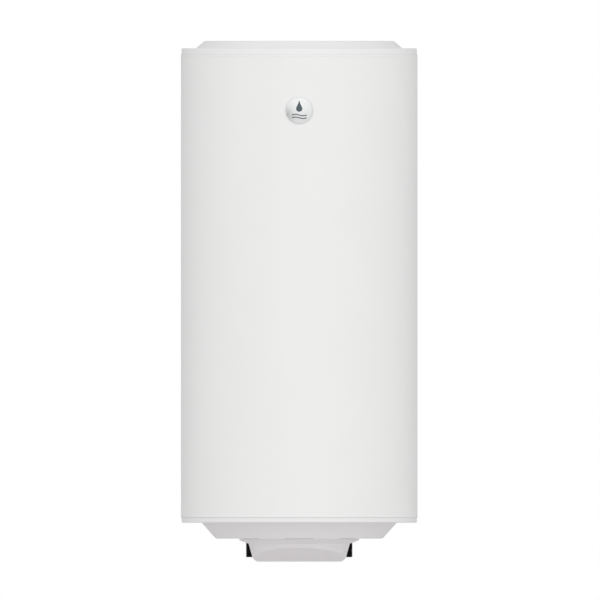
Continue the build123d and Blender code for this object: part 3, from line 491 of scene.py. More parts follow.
def rounded(points, radii, steps=ARC_STEPS):
    """A run of flat points with an arc at each inner corner."""
    path = [Vector(points[0])]
    for before, corner, after, radius in zip(points, points[1:], points[2:], radii):
        corner = Vector(corner)
        back = (Vector(before) - corner).normalized()
        on = (Vector(after) - corner).normalized()
        half = back.angle(on) / 2
        centre = corner + (back + on).normalized() * (radius / sin(half))
        start = corner + back * (radius / tan(half)) - centre
        end = corner + on * (radius / tan(half)) - centre
        swing = atan2(start.x * end.y - start.y * end.x, start.dot(end))
        for step in range(steps + 1):
            turn = swing * step / steps
            path.append(centre + Matrix.Rotation(turn, 2) @ start)
    path.append(Vector(points[-1]))
    return path


def sides(path):
    """At each point of a flat run, the direction square to it, on its left."""
    runs = [(after - before).normalized() for before, after in zip(path, path[1:])]
    means = [(a + b).normalized() for a, b in zip([runs[0], *runs], [*runs, runs[-1]])]
    return [Vector((-run.y, run.x)) for run in means]


def shell_of(path, wall):
    """A closed outline of a run with a wall's thickness on its left."""
    inner = [point + side * wall for point, side in zip(path, sides(path))]
    inner = [Vector((max(point.x, 0), point.y)) for point in inner]
    return [*path, *reversed(inner)]


def loop_box(half_x, half_y, radius, height, steps=4):
    """The points of a rectangle with rounded corners, at a height."""
    loop = []
    for quarter, (sx, sy) in enumerate(((1, 1), (-1, 1), (-1, -1), (1, -1))):
        for step in range(steps + 1):
            turn = pi / 2 * (quarter + step / steps)
            x = sx * (half_x - radius) + radius * cos(turn)
            y = sy * (half_y - radius) + radius * sin(turn)
            loop.append((x, y, height))
    return loop


def block(name, half_x, half_y, low, high, radius, edge, place=UPRIGHT):
    """A moulded block with rounded corners and rounded top and bottom edges."""
    turns = [pi / 2 * step / 3 for step in range(4)]
    bends = [(1 - sin(turn), 1 - cos(turn)) for turn in turns]
    levels = [(low + edge * rise, edge * inset) for inset, rise in bends]
    levels += [(high - edge * rise, edge * inset) for inset, rise in reversed(bends)]
    stations = [
        loop_box(half_x - inset, half_y - inset, max(radius - inset, 0.05), height)
        for height, inset in levels
    ]
    return lofted(name, stations, place)


def discard(thing):
    mesh = thing.data
    bpy.data.objects.remove(thing)
    bpy.data.meshes.remove(mesh)


def combined(piece, tool, operation):
    """The piece with a tool cut from it, added to it or shared with it. It uses the tool up."""
    step = piece.modifiers.new("step", "BOOLEAN")
    step.operation = operation
    step.solver = "EXACT"
    step.object = tool
    depsgraph = bpy.context.evaluated_depsgraph_get()
    result = bpy.data.meshes.new_from_object(piece.evaluated_get(depsgraph))
    piece.modifiers.remove(step)
    old, piece.data = piece.data, result
    bpy.data.meshes.remove(old)
    discard(tool)
    return piece


def cut(piece, *tools):
    return combined(piece, joined(*tools), "DIFFERENCE")


def joined(first, *others):
    """Several solids that don't meet, as one object."""
    work = bmesh.new()
    for thing in (first, *others):
        work.from_mesh(thing.data)
    work.to_mesh(first.data)
    work.free()
    for thing in others:
        discard(thing)
    return first


def copies(thing, *moves):
    """The same solid at several places, each a move in millimetres, as one object."""
    work = bmesh.new()
    for move in moves:
        shifted = thing.data.copy()
        shifted.transform(Matrix.Translation(Vector(move) * MM))
        work.from_mesh(shifted)
        bpy.data.meshes.remove(shifted)
    work.to_mesh(thing.data)
    work.free()
    return thing


def hexagon(name, flat_r, low, high, place=UPRIGHT, low_chamfer=True):
    """A hexagon bar along its own Z, with the usual chamfer at one end or both."""
    corner_r = flat_r / cos(pi / 6)
    bar = rod(name, corner_r, low, high, place, 6)
    face_r = 0.96 * flat_r
    reach = 1.02 * corner_r
    drop = (reach - face_r) * tan(HEX_CHAMFER)
    barrel = [
        (0, low), (face_r, low), (reach, low + drop),
        (reach, high - drop), (face_r, high), (0, high),
    ]
    if not low_chamfer:
        barrel[:3] = [(0, low - OVERRUN), (reach, low - OVERRUN)]
    return combined(bar, lathe("barrel", barrel, place, MEDIUM), "INTERSECT")


def threaded(name, radius, pitch, low, high, place=UPRIGHT, turns=SMALL, edge=1.0):
    """A round bar along its own Z with a screw thread cut round it.

    The helix is a grid with a row for each corner of the thread's profile. It starts and
    ends past the bar and is cut off flat at both ends.
    """
    depth = THREAD_DEPTH * pitch
    phases = ((0.0, 0.0), (0.16, 0.0), (0.5, depth), (0.66, depth))
    spare_turns = 2
    rows = len(phases) * (int((high - low) / pitch) + 2 * spare_turns)
    start = low - spare_turns * pitch
    work = bmesh.new()
    grid = []
    for row in range(rows):
        turn, phase = divmod(row, len(phases))
        share, sunk = phases[phase]
        ring = []
        for step in range(turns):
            angle = 2 * pi * step / turns
            height = start + (turn + share + step / turns) * pitch
            wide = min(radius - sunk, radius - edge + max(min(height - low, high - height), 0))
            ring.append(work.verts.new((wide * cos(angle), wide * sin(angle), height)))
        grid.append(ring)
    wrap = len(phases)
    for row in range(rows - wrap - 1):
        for step in range(turns):
            shift = wrap if step == turns - 1 else 0
            following = (step + 1) % turns
            work.faces.new((
                grid[row][step],
                grid[row + shift][following],
                grid[row + shift + 1][following],
                grid[row + 1][step],
            ))
    for level, way in ((low, -1), (high, 1)):
        geometry = [*work.verts, *work.edges, *work.faces]
        cut_edges = bmesh.ops.bisect_plane(
            work, geom=geometry, plane_co=(0, 0, level), plane_no=(0, 0, way), clear_outer=True
        )["geom_cut"]
        rim = [item for item in cut_edges if isinstance(item, bmesh.types.BMEdge)]
        bmesh.ops.contextual_create(work, geom=rim)
    loose = [vert for vert in work.verts if not vert.link_faces]
    bmesh.ops.delete(work, geom=loose, context="VERTS")
    work.transform(TO_FRAME @ place)
    bmesh.ops.recalc_face_normals(work, faces=work.faces)
    mesh = bpy.data.meshes.new(name)
    work.to_mesh(mesh)
    work.free()
    thing = bpy.data.objects.new(name, mesh)
    bpy.context.scene.collection.objects.link(thing)
    return thing


def clean_up(mesh):
    """Joins doubled points, takes out slivers, closes their gaps and splits many-sided faces."""
    work = bmesh.new()
    work.from_mesh(mesh)
    bmesh.ops.remove_doubles(work, verts=work.verts, dist=WELD * MM)
    bmesh.ops.dissolve_degenerate(work, edges=work.edges, dist=WELD * MM)
    gaps = [edge for edge in work.edges if edge.is_boundary]
    filled = bmesh.ops.holes_fill(work, edges=gaps, sides=4)["faces"]
    bmesh.ops.recalc_face_normals(work, faces=filled)
    many_sided = [face for face in work.faces if len(face.verts) > 4]
    bmesh.ops.triangulate(work, faces=many_sided)
    work.to_mesh(mesh)
    work.free()


node_slots = {part["node"]: part["material_slot"] for part in frame["record"]["subparts"]}
shown = set()


def show(piece, node, crease=32):
    """The piece stands for a node: it takes its finish and moves with its body."""
    mesh = piece.data
    clean_up(mesh)
    mesh.polygons.foreach_set("use_smooth", [True] * len(mesh.polygons))
    mesh.set_sharp_from_angle(angle=radians(crease))
    slot = node_slots[node]
    mesh.materials.clear()
    mesh.materials.append(finishes[slot])
    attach(piece, frame["nodes"][node]["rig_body"])
    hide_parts(node)
    shown.add(node)


# ---- Casing ------------------------------------------------------------------------

SHEET_R = 264.6
SHEET_WALL = 0.8
JACKET_BOTTOM, JACKET_TOP = 99.0, 1134.1
HEM, HEM_RISE = 4.0, 0.40
SEAM_HALF, SEAM_RISE, SEAM_BEND = 6.0, 1.0, 0.7
BOSS_X, BOSS_R = 90.0, 11.0
HOLE_R, HOLE_ROW = BOSS_R + 2, 24.0
BRACKET_HEIGHTS = (250.0, 1050.0)
boss_places = [(x, height) for height in BRACKET_HEIGHTS for x in (-BOSS_X, BOSS_X)]


def hem(height, way):
    """The folded edge of the jacket's sheet, from its end inwards."""
    steps = (
        (-0.25, 0.0), (0.15, 0.10), (HEM_RISE, 0.6),
        (HEM_RISE, HEM - 0.9), (0.15, HEM - 0.3), (0.0, HEM),
    )
    return [(SHEET_R + rise, height + way * along) for rise, along in steps]


def jacket_section(angle):
    """The sheet's outline, hemmed at both ends, with the lock seam down the back."""
    from_back = abs(angle - pi / 2) * SHEET_R
    raised = SEAM_RISE * min(max((SEAM_HALF - from_back) / SEAM_BEND, 0), 1)
    hole_rows = [height + way * HOLE_ROW for height in BRACKET_HEIGHTS for way in (-1, 1)]
    seam = [
        (SHEET_R + raised, height)
        for height in (JACKET_BOTTOM + HEM + 0.8, *hole_rows, JACKET_TOP - HEM - 0.8)
    ]
    inner = [
        (SHEET_R - SHEET_WALL, height)
        for height in (JACKET_TOP, *reversed(hole_rows), JACKET_BOTTOM)
    ]
    return [
        *hem(JACKET_BOTTOM, 1),
        (SHEET_R, JACKET_BOTTOM + HEM + 0.1), *seam, (SHEET_R, JACKET_TOP - HEM - 0.1),
        *reversed(hem(JACKET_TOP, -1)),
        *inner,
    ]


seam_reaches = (5.2, 5.65, SEAM_HALF)
seam_angles = [pi / 2 + side * reach / SHEET_R for side in (-1, 1) for reach in seam_reaches]
jacket = turned("jacket_sheet", jacket_section, sorted(evenly(FINE) + seam_angles))
cut(jacket, *[
    rod("hole", HOLE_R, SHEET_R - 30, SHEET_R + 10, at(x, 0, height, TOWARDS_WALL))
    for x, height in boss_places
])
show(jacket, "jacket")

CAP_R = 263.3
CAP_WALL = 2.5
CAP_LIP = 15.0
SHOULDER, TOP = 1148.5, 1165.0
PLATEAU_FOOT_R, PLATEAU_R = 230.8, 211.4
roof = rounded(
    [(CAP_R, JACKET_TOP - CAP_LIP), (CAP_R, SHOULDER), (PLATEAU_FOOT_R, SHOULDER),
     (PLATEAU_R, TOP), (0, TOP)],
    [3, 4, 12],
)
show(lathe("roof_moulding", shell_of(roof, CAP_WALL), turns=FINE), "top_cover", crease=50)

BASE_RIM = 87.0
DISH_ROOT_R, DISH_R, DISH_BOTTOM = 218.3, 186.5, 51.5
WELL_R, WELL_TOP = 108.0, 118.5
PIPE_X, PIPE_Y, PIPE_BORE_R = 106.1, 110.0, 14.2
SCREW_X, SCREW_R = 124.0, 2.1
SCREW_BOSS_TOP, SCREW_HOLE_TOP = 68.0, 66.0
base = rounded(
    [(CAP_R, JACKET_BOTTOM + CAP_LIP), (CAP_R, BASE_RIM), (DISH_ROOT_R, BASE_RIM),
     (DISH_R, DISH_BOTTOM), (WELL_R, DISH_BOTTOM), (WELL_R, WELL_TOP)],
    [3, 3, 8, 3],
)
pipe_stands = [at(x, PIPE_Y, 0) for x in (-PIPE_X, PIPE_X)]
screw_stands = [at(x, 0, 0) for x in (-SCREW_X, SCREW_X)]


def at_screws(name, radius, low, high):
    return [rod(name, radius, low, high, stand) for stand in screw_stands]


dish = lathe("dished_base", shell_of(list(reversed(base)), CAP_WALL), turns=FINE)
for boss in at_screws("boss", SCREW_R + 3, DISH_BOTTOM + 1, SCREW_BOSS_TOP):
    combined(dish, boss, "UNION")
bore_low, bore_high = DISH_BOTTOM - 5, DISH_BOTTOM + 10
cut(
    dish,
    *[rod("bore", PIPE_BORE_R, bore_low, bore_high, stand, MEDIUM) for stand in pipe_stands],
    *at_screws("hole", SCREW_R + CLEAR, bore_low, SCREW_HOLE_TOP),
)
show(dish, "bottom_cover", crease=40)

# ---- Badge with a drop over two waves ----------------------------------------------

BADGE_HEIGHT = 1009.0
BADGE_R, BADGE_RISE, BADGE_EDGE = 30.0, 5.0, 1.2
BADGE_FLANK_R, BADGE_TURNS = 28, 96
DOME_RISE = BADGE_RISE - BADGE_EDGE
DOME_R = (BADGE_R**2 + DOME_RISE**2) / (2 * DOME_RISE)
badge_place = at(0, 0, BADGE_HEIGHT, TOWARDS_ROOM)


def dome(radius):
    """How far the badge's front stands from the tank's axis, at a distance from its centre."""
    return SHEET_R + BADGE_RISE - DOME_R + sqrt(DOME_R**2 - radius**2)


def badge_section(angle):
    """The disc's outline: a dome in front, and a back that lies on the round casing."""

    def casing(radius):
        return sqrt((SHEET_R + CLEAR) ** 2 - (radius * cos(angle)) ** 2)

    front = [(radius, dome(radius)) for radius in range(0, BADGE_FLANK_R, 3)]
    edge = rounded(
        [(BADGE_FLANK_R, dome(BADGE_FLANK_R)), (BADGE_R, dome(BADGE_R)),
         (BADGE_R, casing(BADGE_R))],
        [0.9],
    )
    back = [(radius, casing(radius)) for radius in (20, 10, 0)]
    return [*front, *edge, *back]


badge = turned("badge_disc", badge_section, evenly(BADGE_TURNS), badge_place)
show(badge, "badge", crease=40)

EMBLEM_RISE, EMBLEM_FLANK, EMBLEM_ROOT = 0.4, 0.25, -0.5
DROP_R, DROP_TOP, DROP_Y = 7.0, 18.5, 4.5
WAVE_HALF, WAVE_RISE, WAVE_WIDTH = 17.0, 1.5, 2.2
WAVE_YS = (-10.0, -16.0)
WAVE_TIP, WAVE_STEPS = 0.35, 40


def on_badge(x, y, lift):
    """A point over the badge's dome, in the badge's own directions."""
    return Vector((x, y, dome(sqrt(x * x + y * y)) + lift))


def drop_reach(angle):
    """The drop's outline, from the centre of its round end: its flanks bend in to the tip."""
    from_tip = abs((angle - pi / 2 + pi) % (2 * pi) - pi)
    touch = acos(DROP_R / DROP_TOP)
    if from_tip >= touch:
        return DROP_R
    straight = DROP_R / cos(touch - from_tip)
    return DROP_R + (straight - DROP_R) * (straight / DROP_TOP) ** 0.35


def drop():
    levels = [(1.0, EMBLEM_ROOT), (1.0, EMBLEM_FLANK)]
    levels += [(share, EMBLEM_RISE) for share in (0.96, 0.7, 0.4)]
    stations = []
    for share, lift in levels:
        stations.append([
            on_badge(drop_reach(a) * share * cos(a), DROP_Y + drop_reach(a) * share * sin(a), lift)
            for a in evenly(BADGE_TURNS)
        ])
    return lofted("drop", stations, badge_place)


def wave(y):
    """A band along one full wave, narrower at its round ends."""
    half = WAVE_WIDTH / 2
    top_half = half - 0.2
    section = (
        (-half, EMBLEM_ROOT), (-half, EMBLEM_FLANK), (-top_half, EMBLEM_RISE),
        (top_half, EMBLEM_RISE), (half, EMBLEM_FLANK), (half, EMBLEM_ROOT),
    )
    stations = []
    for step in range(WAVE_STEPS + 1):
        x = WAVE_HALF * (2 * step / WAVE_STEPS - 1)
        turn = pi * x / WAVE_HALF
        centre = Vector((x, y - WAVE_RISE * sin(turn)))
        slope = Vector((1, -WAVE_RISE * pi / WAVE_HALF * cos(turn))).normalized()
        into_end = max(0, (abs(x) - WAVE_HALF + half) / half)
        taper = min(1, WAVE_TIP + (1 - WAVE_TIP) * sqrt(1 - into_end**2))
        across = Vector((-slope.y, slope.x))
        stations.append([
            on_badge(*(centre + across * (offset * taper)), lift) for offset, lift in section
        ])
    return lofted("wave", stations, badge_place)


show(joined(drop(), *[wave(y) for y in WAVE_YS]), "badge_emblem", crease=50)

# ---- Water connections -------------------------------------------------------------

THREAD_R, THREAD_TOP = 13.22, 47.0
NIPPLE_BODY_R, NIPPLE_BORE_R = 13.6, 10.0
NIPPLE_BOTTOM, NIPPLE_TOP = 10.0, 60.0
GAS_PITCH = 1.814
COUNTERSINK = 1.8
RING_R, RING_LOW, RING_HIGH = 17.0, 47.4, 51.4


def nipple(name, place):
    """A pipe end: a threaded length under a plain body, with a countersunk bore."""
    piece = threaded(name, THREAD_R, GAS_PITCH, NIPPLE_BOTTOM, THREAD_TOP + 1, place, MEDIUM)
    body = rod("body", NIPPLE_BODY_R, THREAD_TOP, NIPPLE_TOP, place, MEDIUM, edge=0.3)
    combined(piece, body, "UNION")
    low, high = NIPPLE_BOTTOM - OVERRUN, NIPPLE_TOP + OVERRUN
    mouth = [
        (0, low), (NIPPLE_BORE_R + COUNTERSINK, low), (NIPPLE_BORE_R, low + COUNTERSINK),
        (NIPPLE_BORE_R, high), (0, high),
    ]
    return cut(piece, lathe("mouth", mouth, place, MEDIUM))


def ring(name, place):
    inner = NIPPLE_BODY_R + CLEAR
    run = rounded(
        [(inner, RING_HIGH), (inner, RING_LOW), (RING_R, RING_LOW), (RING_R, RING_HIGH)],
        [0.3, 1.5],
    )
    return lathe(name, run, place, MEDIUM)


hot_stand, cold_stand = pipe_stands
show(nipple("hot_thread", hot_stand), "hot_nipple", crease=25)
show(nipple("cold_thread", cold_stand), "cold_nipple", crease=25)
show(ring("red_ring", hot_stand), "hot_ring")
show(ring("blue_ring", cold_stand), "cold_ring")

# ---- Wiring cover ------------------------------------------------------------------

COVER_TOP = 51.2
RIM_R, RIM_BOTTOM = 134.0, 47.9
BODY_R, BODY_TOP = 113.2, 40.2
FOOT_R = 102.1
COVER_WALL = 2.5
CORNER_R = 7.0
RAMP_REACH, RAMP_HEIGHT, RAMP_SLOPE = 108.0, 30.0, 0.22
RAMP_BLEND = 6.5
WALL_LEAN = (BODY_R - FOOT_R) / BODY_TOP
FLOOR_EDGE, FLOOR_RINGS = 12.0, 16
SCREW_SEAT = 47.5
SCREW_HEAD_R = 4.0
SCREW_BOSS_R = SCREW_HEAD_R + 2.3
GLAND_HEIGHT = 24.0
GLAND_BOSS_R, GLAND_THREAD_R = 14.0, 8.0
GLAND_SEAT_Y, GLAND_BOSS_Y = 112.0, 101.5
gland_place = at(0, 0, GLAND_HEIGHT, TOWARDS_WALL)


def underside(y, inset):
    """The height of the wiring cover's underside: flat at the back, sloping up to the front."""
    over = RAMP_HEIGHT - RAMP_SLOPE * (y + RAMP_REACH) + inset * (sqrt(1 + RAMP_SLOPE**2) - 1)
    soft = RAMP_SLOPE * RAMP_BLEND
    if abs(over) < soft:
        return inset + (over + soft) ** 2 / (4 * soft)
    return inset + max(over, 0)


def cover_section(inset, top):
    """The outline of the wiring cover, or of the hollow in it, as a function of the angle."""
    wall_shift = inset * sqrt(1 + WALL_LEAN**2)
    slope = (RIM_BOTTOM - BODY_TOP) / (RIM_R - BODY_R)
    slope_shift = inset * sqrt(1 + slope**2)

    def wall_r(height):
        return FOOT_R + WALL_LEAN * height - wall_shift

    def slope_height(radius):
        return BODY_TOP + slope * (radius - BODY_R) + slope_shift

    knee = (BODY_R - wall_shift, 0)
    for _ in range(8):
        height = slope_height(knee[0])
        knee = (wall_r(height), height)

    def section(angle):
        corner_z = 0.0
        for _ in range(12):
            corner_z = underside(wall_r(corner_z) * sin(angle), inset)
        corner_r = wall_r(corner_z)
        inner_r = corner_r - FLOOR_EDGE
        inner = (inner_r, underside(inner_r * sin(angle), inset))
        side = rounded(
            [(RIM_R - inset, top), (RIM_R - inset, slope_height(RIM_R - inset)), knee,
             (corner_r, corner_z), inner],
            [0.9, 2.0, CORNER_R - inset],
            8,
        )
        radii = [inner_r * (1 - step / FLOOR_RINGS) for step in range(1, FLOOR_RINGS + 1)]
        bottom = [(radius, underside(radius * sin(angle), inset)) for radius in radii]
        return [(0, top), *side, *bottom]

    return section


def gland_boss(edge):
    return rod("gland_boss", GLAND_BOSS_R, GLAND_BOSS_Y, GLAND_SEAT_Y, gland_place, MEDIUM, edge)


cover = turned("wiring_cover_shell", cover_section(0, COVER_TOP), evenly(FINE))
hollow = turned("hollow", cover_section(COVER_WALL, COVER_TOP + 5), evenly(FINE))
combined(cover, gland_boss(0.6), "UNION")
cut(hollow, gland_boss(0), *at_screws("screw_boss", SCREW_BOSS_R, BODY_TOP, COVER_TOP + OVERRUN))
combined(cover, hollow, "DIFFERENCE")
gland_hole_r = GLAND_THREAD_R + CLEAR
cut(
    cover,
    rod("gland_hole", gland_hole_r, GLAND_BOSS_Y - 4, GLAND_SEAT_Y + 5, gland_place, MEDIUM),
    *at_screws("head_hole", SCREW_HEAD_R + 0.3, BODY_TOP - 2, SCREW_SEAT),
)
cut(cover, *at_screws("screw_hole", SCREW_R + CLEAR, BODY_TOP, COVER_TOP + 5))
show(cover, "electrical_cover", crease=35)

SCREW_FACE = SCREW_SEAT - 2.7
SCREW_TIP = 63.9
RECESS_HALF, RECESS_HALF_WIDTH = 2.1, 0.45


def cover_screw():
    """A pan head with a cross recess, on a plain shank."""
    place = screw_stands[0]
    seat = SCREW_SEAT - CLEAR
    side = rounded(
        [(2.5, SCREW_FACE), (SCREW_HEAD_R, SCREW_FACE + 0.35), (SCREW_HEAD_R, seat),
         (SCREW_R, seat), (SCREW_R, SCREW_TIP - 0.5)],
        [1.0, 0.15, 0.1],
    )
    outline = [(0, SCREW_FACE), *side, (SCREW_R - 0.5, SCREW_TIP), (0, SCREW_TIP)]
    piece = lathe("cover_screw_pair", outline, place)
    for size in ((RECESS_HALF_WIDTH, RECESS_HALF), (RECESS_HALF, RECESS_HALF_WIDTH)):
        cut(piece, block("arm", *size, SCREW_FACE - OVERRUN, SCREW_FACE + 1.5, 0.2, 0.1, place))
    return copies(piece, (0, 0, 0), (2 * SCREW_X, 0, 0))


show(cover_screw(), "cover_screws")

# ---- Cable gland -------------------------------------------------------------------

GLAND_FLAT_R, GLAND_BORE_R = 10.0, 6.5
GLAND_CORNER_R = GLAND_FLAT_R / cos(pi / 6)
GLAND_PITCH = 1.5
STEM_START = GLAND_BOSS_Y - 7.0
LOCKNUT_END, LOCKNUT_T = GLAND_BOSS_Y - CLEAR, 5.0
COLLAR_END = GLAND_SEAT_Y + 5.0
TAIL_END = COLLAR_END + 8.0
CAP_START = COLLAR_END + 0.3
CAP_END = CAP_START + 13.0
CABLE_HOLE_R = 5.8

gland = threaded(
    "gland_stem", GLAND_THREAD_R, GLAND_PITCH, STEM_START, TAIL_END, gland_place, MEDIUM
)
combined(gland, hexagon("collar", GLAND_FLAT_R, GLAND_SEAT_Y, COLLAR_END, gland_place), "UNION")
cut(gland, rod("bore", GLAND_BORE_R, STEM_START - 3, CAP_END, gland_place, MEDIUM))
show(gland, "gland_body", crease=25)

locknut = hexagon(
    "gland_nut", GLAND_FLAT_R + 1, LOCKNUT_END - LOCKNUT_T, LOCKNUT_END, gland_place
)
cut(locknut, rod("bore", gland_hole_r, GLAND_BOSS_Y - 9, GLAND_BOSS_Y + 3, gland_place, MEDIUM))
show(locknut, "gland_locknut")

dome_r = GLAND_CORNER_R + 0.2
nut_dome = rounded(
    [(dome_r, CAP_START - OVERRUN), (dome_r, CAP_END), (CABLE_HOLE_R + 0.8, CAP_END),
     (0, CAP_END)],
    [4.2, 0.3],
)
gland_cap = rod("gland_dome_nut", GLAND_CORNER_R, CAP_START, CAP_END, gland_place, 6)
dome_tool = lathe("dome", [(0, CAP_START - OVERRUN), *nut_dome], gland_place)
combined(gland_cap, dome_tool, "INTERSECT")
cap_bore = [
    (0, CAP_START - OVERRUN), (gland_hole_r, CAP_START - OVERRUN),
    (gland_hole_r, TAIL_END + 0.5), (CABLE_HOLE_R, TAIL_END + 0.5),
    (CABLE_HOLE_R, CAP_END + OVERRUN), (0, CAP_END + OVERRUN),
]
cut(gland_cap, lathe("bore", cap_bore, gland_place))
show(gland_cap, "gland_cap")

# ---- Wall brackets -----------------------------------------------------------------

STRAP_T, STRAP_HALF, LIP = 3.0, 30.0, 5.0
STRAP_END, BEND_OUT, BEND_IN, SETBACK = 250.0, 165.0, 150.0, 12.0
SLOT_X, SLOT_HALF, SLOT_R = 220.0, 10.0, 6.0
BOLT_HOLE_R = 5.5
CUT_LOW, CUT_HIGH = -30.0, 5.0


def slot_prism(x, height):
    """A wall slot, long across the bracket."""
    loop = []
    for side in (1, -1):
        for step in range(9):
            turn = pi * step / 8 - side * pi / 2
            loop.append((side * (SLOT_HALF - SLOT_R) + SLOT_R * cos(turn), SLOT_R * sin(turn)))
    ends = [[(px, py, z) for px, py in loop] for z in (CUT_LOW, CUT_HIGH)]
    return lofted("slot", ends, at(x, WALL_Y, height, TOWARDS_WALL))


def bracket(name, height):
    """A bent strap with a lip along each long edge, wall slots and bolt holes."""
    run = rounded(
        [(-STRAP_END, 0), (-BEND_OUT, 0), (-BEND_IN, -SETBACK),
         (BEND_IN, -SETBACK), (BEND_OUT, 0), (STRAP_END, 0)],
        [10, 3, 3, 10],
        5,
    )
    deep = STRAP_T + LIP
    inner = STRAP_HALF - STRAP_T
    section = rounded(
        [(0, 0), (0, STRAP_HALF), (deep, STRAP_HALF), (deep, inner), (STRAP_T, inner),
         (STRAP_T, -inner), (deep, -inner), (deep, -STRAP_HALF), (0, -STRAP_HALF), (0, 0)],
        [3.2, 0.5, 0.5, 0.8, 0.8, 0.5, 0.5, 3.2],
        4,
    )[1:-1]
    stations = []
    for point, left in zip(run, sides(run)):
        stations.append([(*(point - left * depth), rise) for depth, rise in section])
    piece = lofted(name, stations, at(0, WALL_Y, height))
    bolt_lines = [at(x, WALL_Y, height, TOWARDS_WALL) for x in (-BOSS_X, BOSS_X)]
    return cut(
        piece,
        *[slot_prism(x, height) for x in (-SLOT_X, SLOT_X)],
        *[rod("hole", BOLT_HOLE_R, CUT_LOW, CUT_HIGH, line) for line in bolt_lines],
    )


show(bracket("lower_bracket_strap", BRACKET_HEIGHTS[0]), "lower_wall_bracket", crease=40)
show(bracket("upper_bracket_strap", BRACKET_HEIGHTS[1]), "upper_wall_bracket", crease=40)

WASHER_R, WASHER_BORE_R = 10.0, 5.3
BOLT_R, BOLT_LENGTH = 5.0, 40.0
HEAD_FLAT_R, HEAD_T = 8.0, 6.4
WASHER_Y = WALL_Y - SETBACK
HEAD_Y = WASHER_Y + 2.0
first_x, first_height = boss_places[0]
bolt_moves = [(x - first_x, 0, height - first_height) for x, height in boss_places]
bolt_place = at(first_x, 0, first_height, TOWARDS_WALL)
washer = tube(
    "bracket_washer_set", WASHER_BORE_R, WASHER_R, WASHER_Y, HEAD_Y, bolt_place, edge=0.25
)
show(copies(washer, *bolt_moves), "bracket_washers")
bolt = hexagon(
    "bracket_bolt_set", HEAD_FLAT_R, HEAD_Y, HEAD_Y + HEAD_T, bolt_place, low_chamfer=False
)
combined(bolt, rod("shank", BOLT_R, HEAD_Y - BOLT_LENGTH, HEAD_Y + 1, bolt_place), "UNION")
show(copies(bolt, *bolt_moves), "bracket_bolts")

# ---- Flange fasteners --------------------------------------------------------------

PLATE_BOTTOM, RING_TOP = 81.0, 98.0
STUD_R, STUD_END, STUD_CIRCLE, STUD_PITCH = 4.0, 70.0, 65.0, 1.25
NUT_H, NUT_FLAT_R = 6.5, 6.5
ANODE_Y, ANODE_STUD_TOP = 24.0, 110.0
stud_places = [(STUD_CIRCLE * cos(a), STUD_CIRCLE * sin(a), 0) for a in evenly(6)]


def m8_nut(name):
    nut = hexagon(name, NUT_FLAT_R, PLATE_BOTTOM - NUT_H, PLATE_BOTTOM)
    return cut(nut, rod("bore", STUD_R + CLEAR, PLATE_BOTTOM - NUT_H - 2, PLATE_BOTTOM + 2))


def m8_stud(name, top):
    return threaded(name, STUD_R, STUD_PITCH, STUD_END, top, turns=24, edge=0.8)


show(copies(m8_stud("flange_stud_set", RING_TOP), *stud_places), "flange_studs", crease=25)
show(copies(m8_nut("flange_nut_set"), *stud_places), "flange_nuts")
anode_place = (0, ANODE_Y, 0)
show(copies(m8_nut("anode_hex_nut"), anode_place), "anode_nut")
anode_stud = m8_stud("anode_thread", ANODE_STUD_TOP)
show(copies(anode_stud, anode_place), "anode_stud", crease=25)

HAIRPIN_X, HAIRPIN_YS = 22.0, (-38.0, -10.0)
SHEATH_BOTTOM = PLATE_BOTTOM - 5
INSULATOR_STEP, INSULATOR_BOTTOM = SHEATH_BOTTOM - 4.4, SHEATH_BOTTOM - 7
PIN_BORE_R, INSULATOR_TIP_R, INSULATOR_R = 2.1, 4.2, 5.0
insulator = rounded(
    [(PIN_BORE_R, SHEATH_BOTTOM), (PIN_BORE_R, INSULATOR_BOTTOM),
     (INSULATOR_TIP_R, INSULATOR_BOTTOM), (INSULATOR_TIP_R, INSULATOR_STEP),
     (INSULATOR_R, INSULATOR_STEP), (INSULATOR_R, SHEATH_BOTTOM)],
    [0.3, 0.6, 0.2, 0.4],
    3,
)
leg_moves = [(x, y, 0) for x in (-HAIRPIN_X, HAIRPIN_X) for y in HAIRPIN_YS]
show(copies(lathe("insulator_set", insulator, turns=SMALL), *leg_moves), "terminal_insulators")

# ---- Thermostat --------------------------------------------------------------------

THERMO_Y, THERMO_LOW, THERMO_HIGH = -27.0, 30.0, 60.0
CASE_HALF_X, CASE_HALF_Y, CASE_CORNER, CASE_EDGE = 32.0, 25.0, 4.0, 1.5
DIAL_X, BUTTON_X = -13.0, 17.0
DIAL_R, DIAL_T, SHAFT_R, SHAFT_TOP = 12.0, 5.0, 3.0, 40.0
BUTTON_R = 4.0
SLIDING_FIT = 0.06
DIAL_TOP = THERMO_LOW - 0.3
MARKS_EACH_WAY, MARK_STEP_DEG = 5, 27
GROOVE_LOW, GROOVE_HIGH, GROOVE_DEPTH = THERMO_LOW + 19.6, THERMO_LOW + 20.2, 0.4
case_place = at(0, THERMO_Y, 0)
dial_place = at(DIAL_X, THERMO_Y, 0)
button_place = at(BUTTON_X, THERMO_Y, 0)


def scale_marks():
    """Raised strokes round the dial, over its turn."""
    marks = []
    for step in range(-MARKS_EACH_WAY, MARKS_EACH_WAY + 1):
        half = 1.0 if step % MARKS_EACH_WAY == 0 else 0.65
        turn = Matrix.Rotation(radians(MARK_STEP_DEG * step - 90), 4, "Z")
        spot = dial_place @ turn @ Matrix.Translation((DIAL_R + 0.9 + half, 0, 0))
        marks.append(block("mark", half, 0.3, THERMO_LOW - 0.25, THERMO_LOW + 0.5, 0.1, 0.1, spot))
    return joined(*marks)


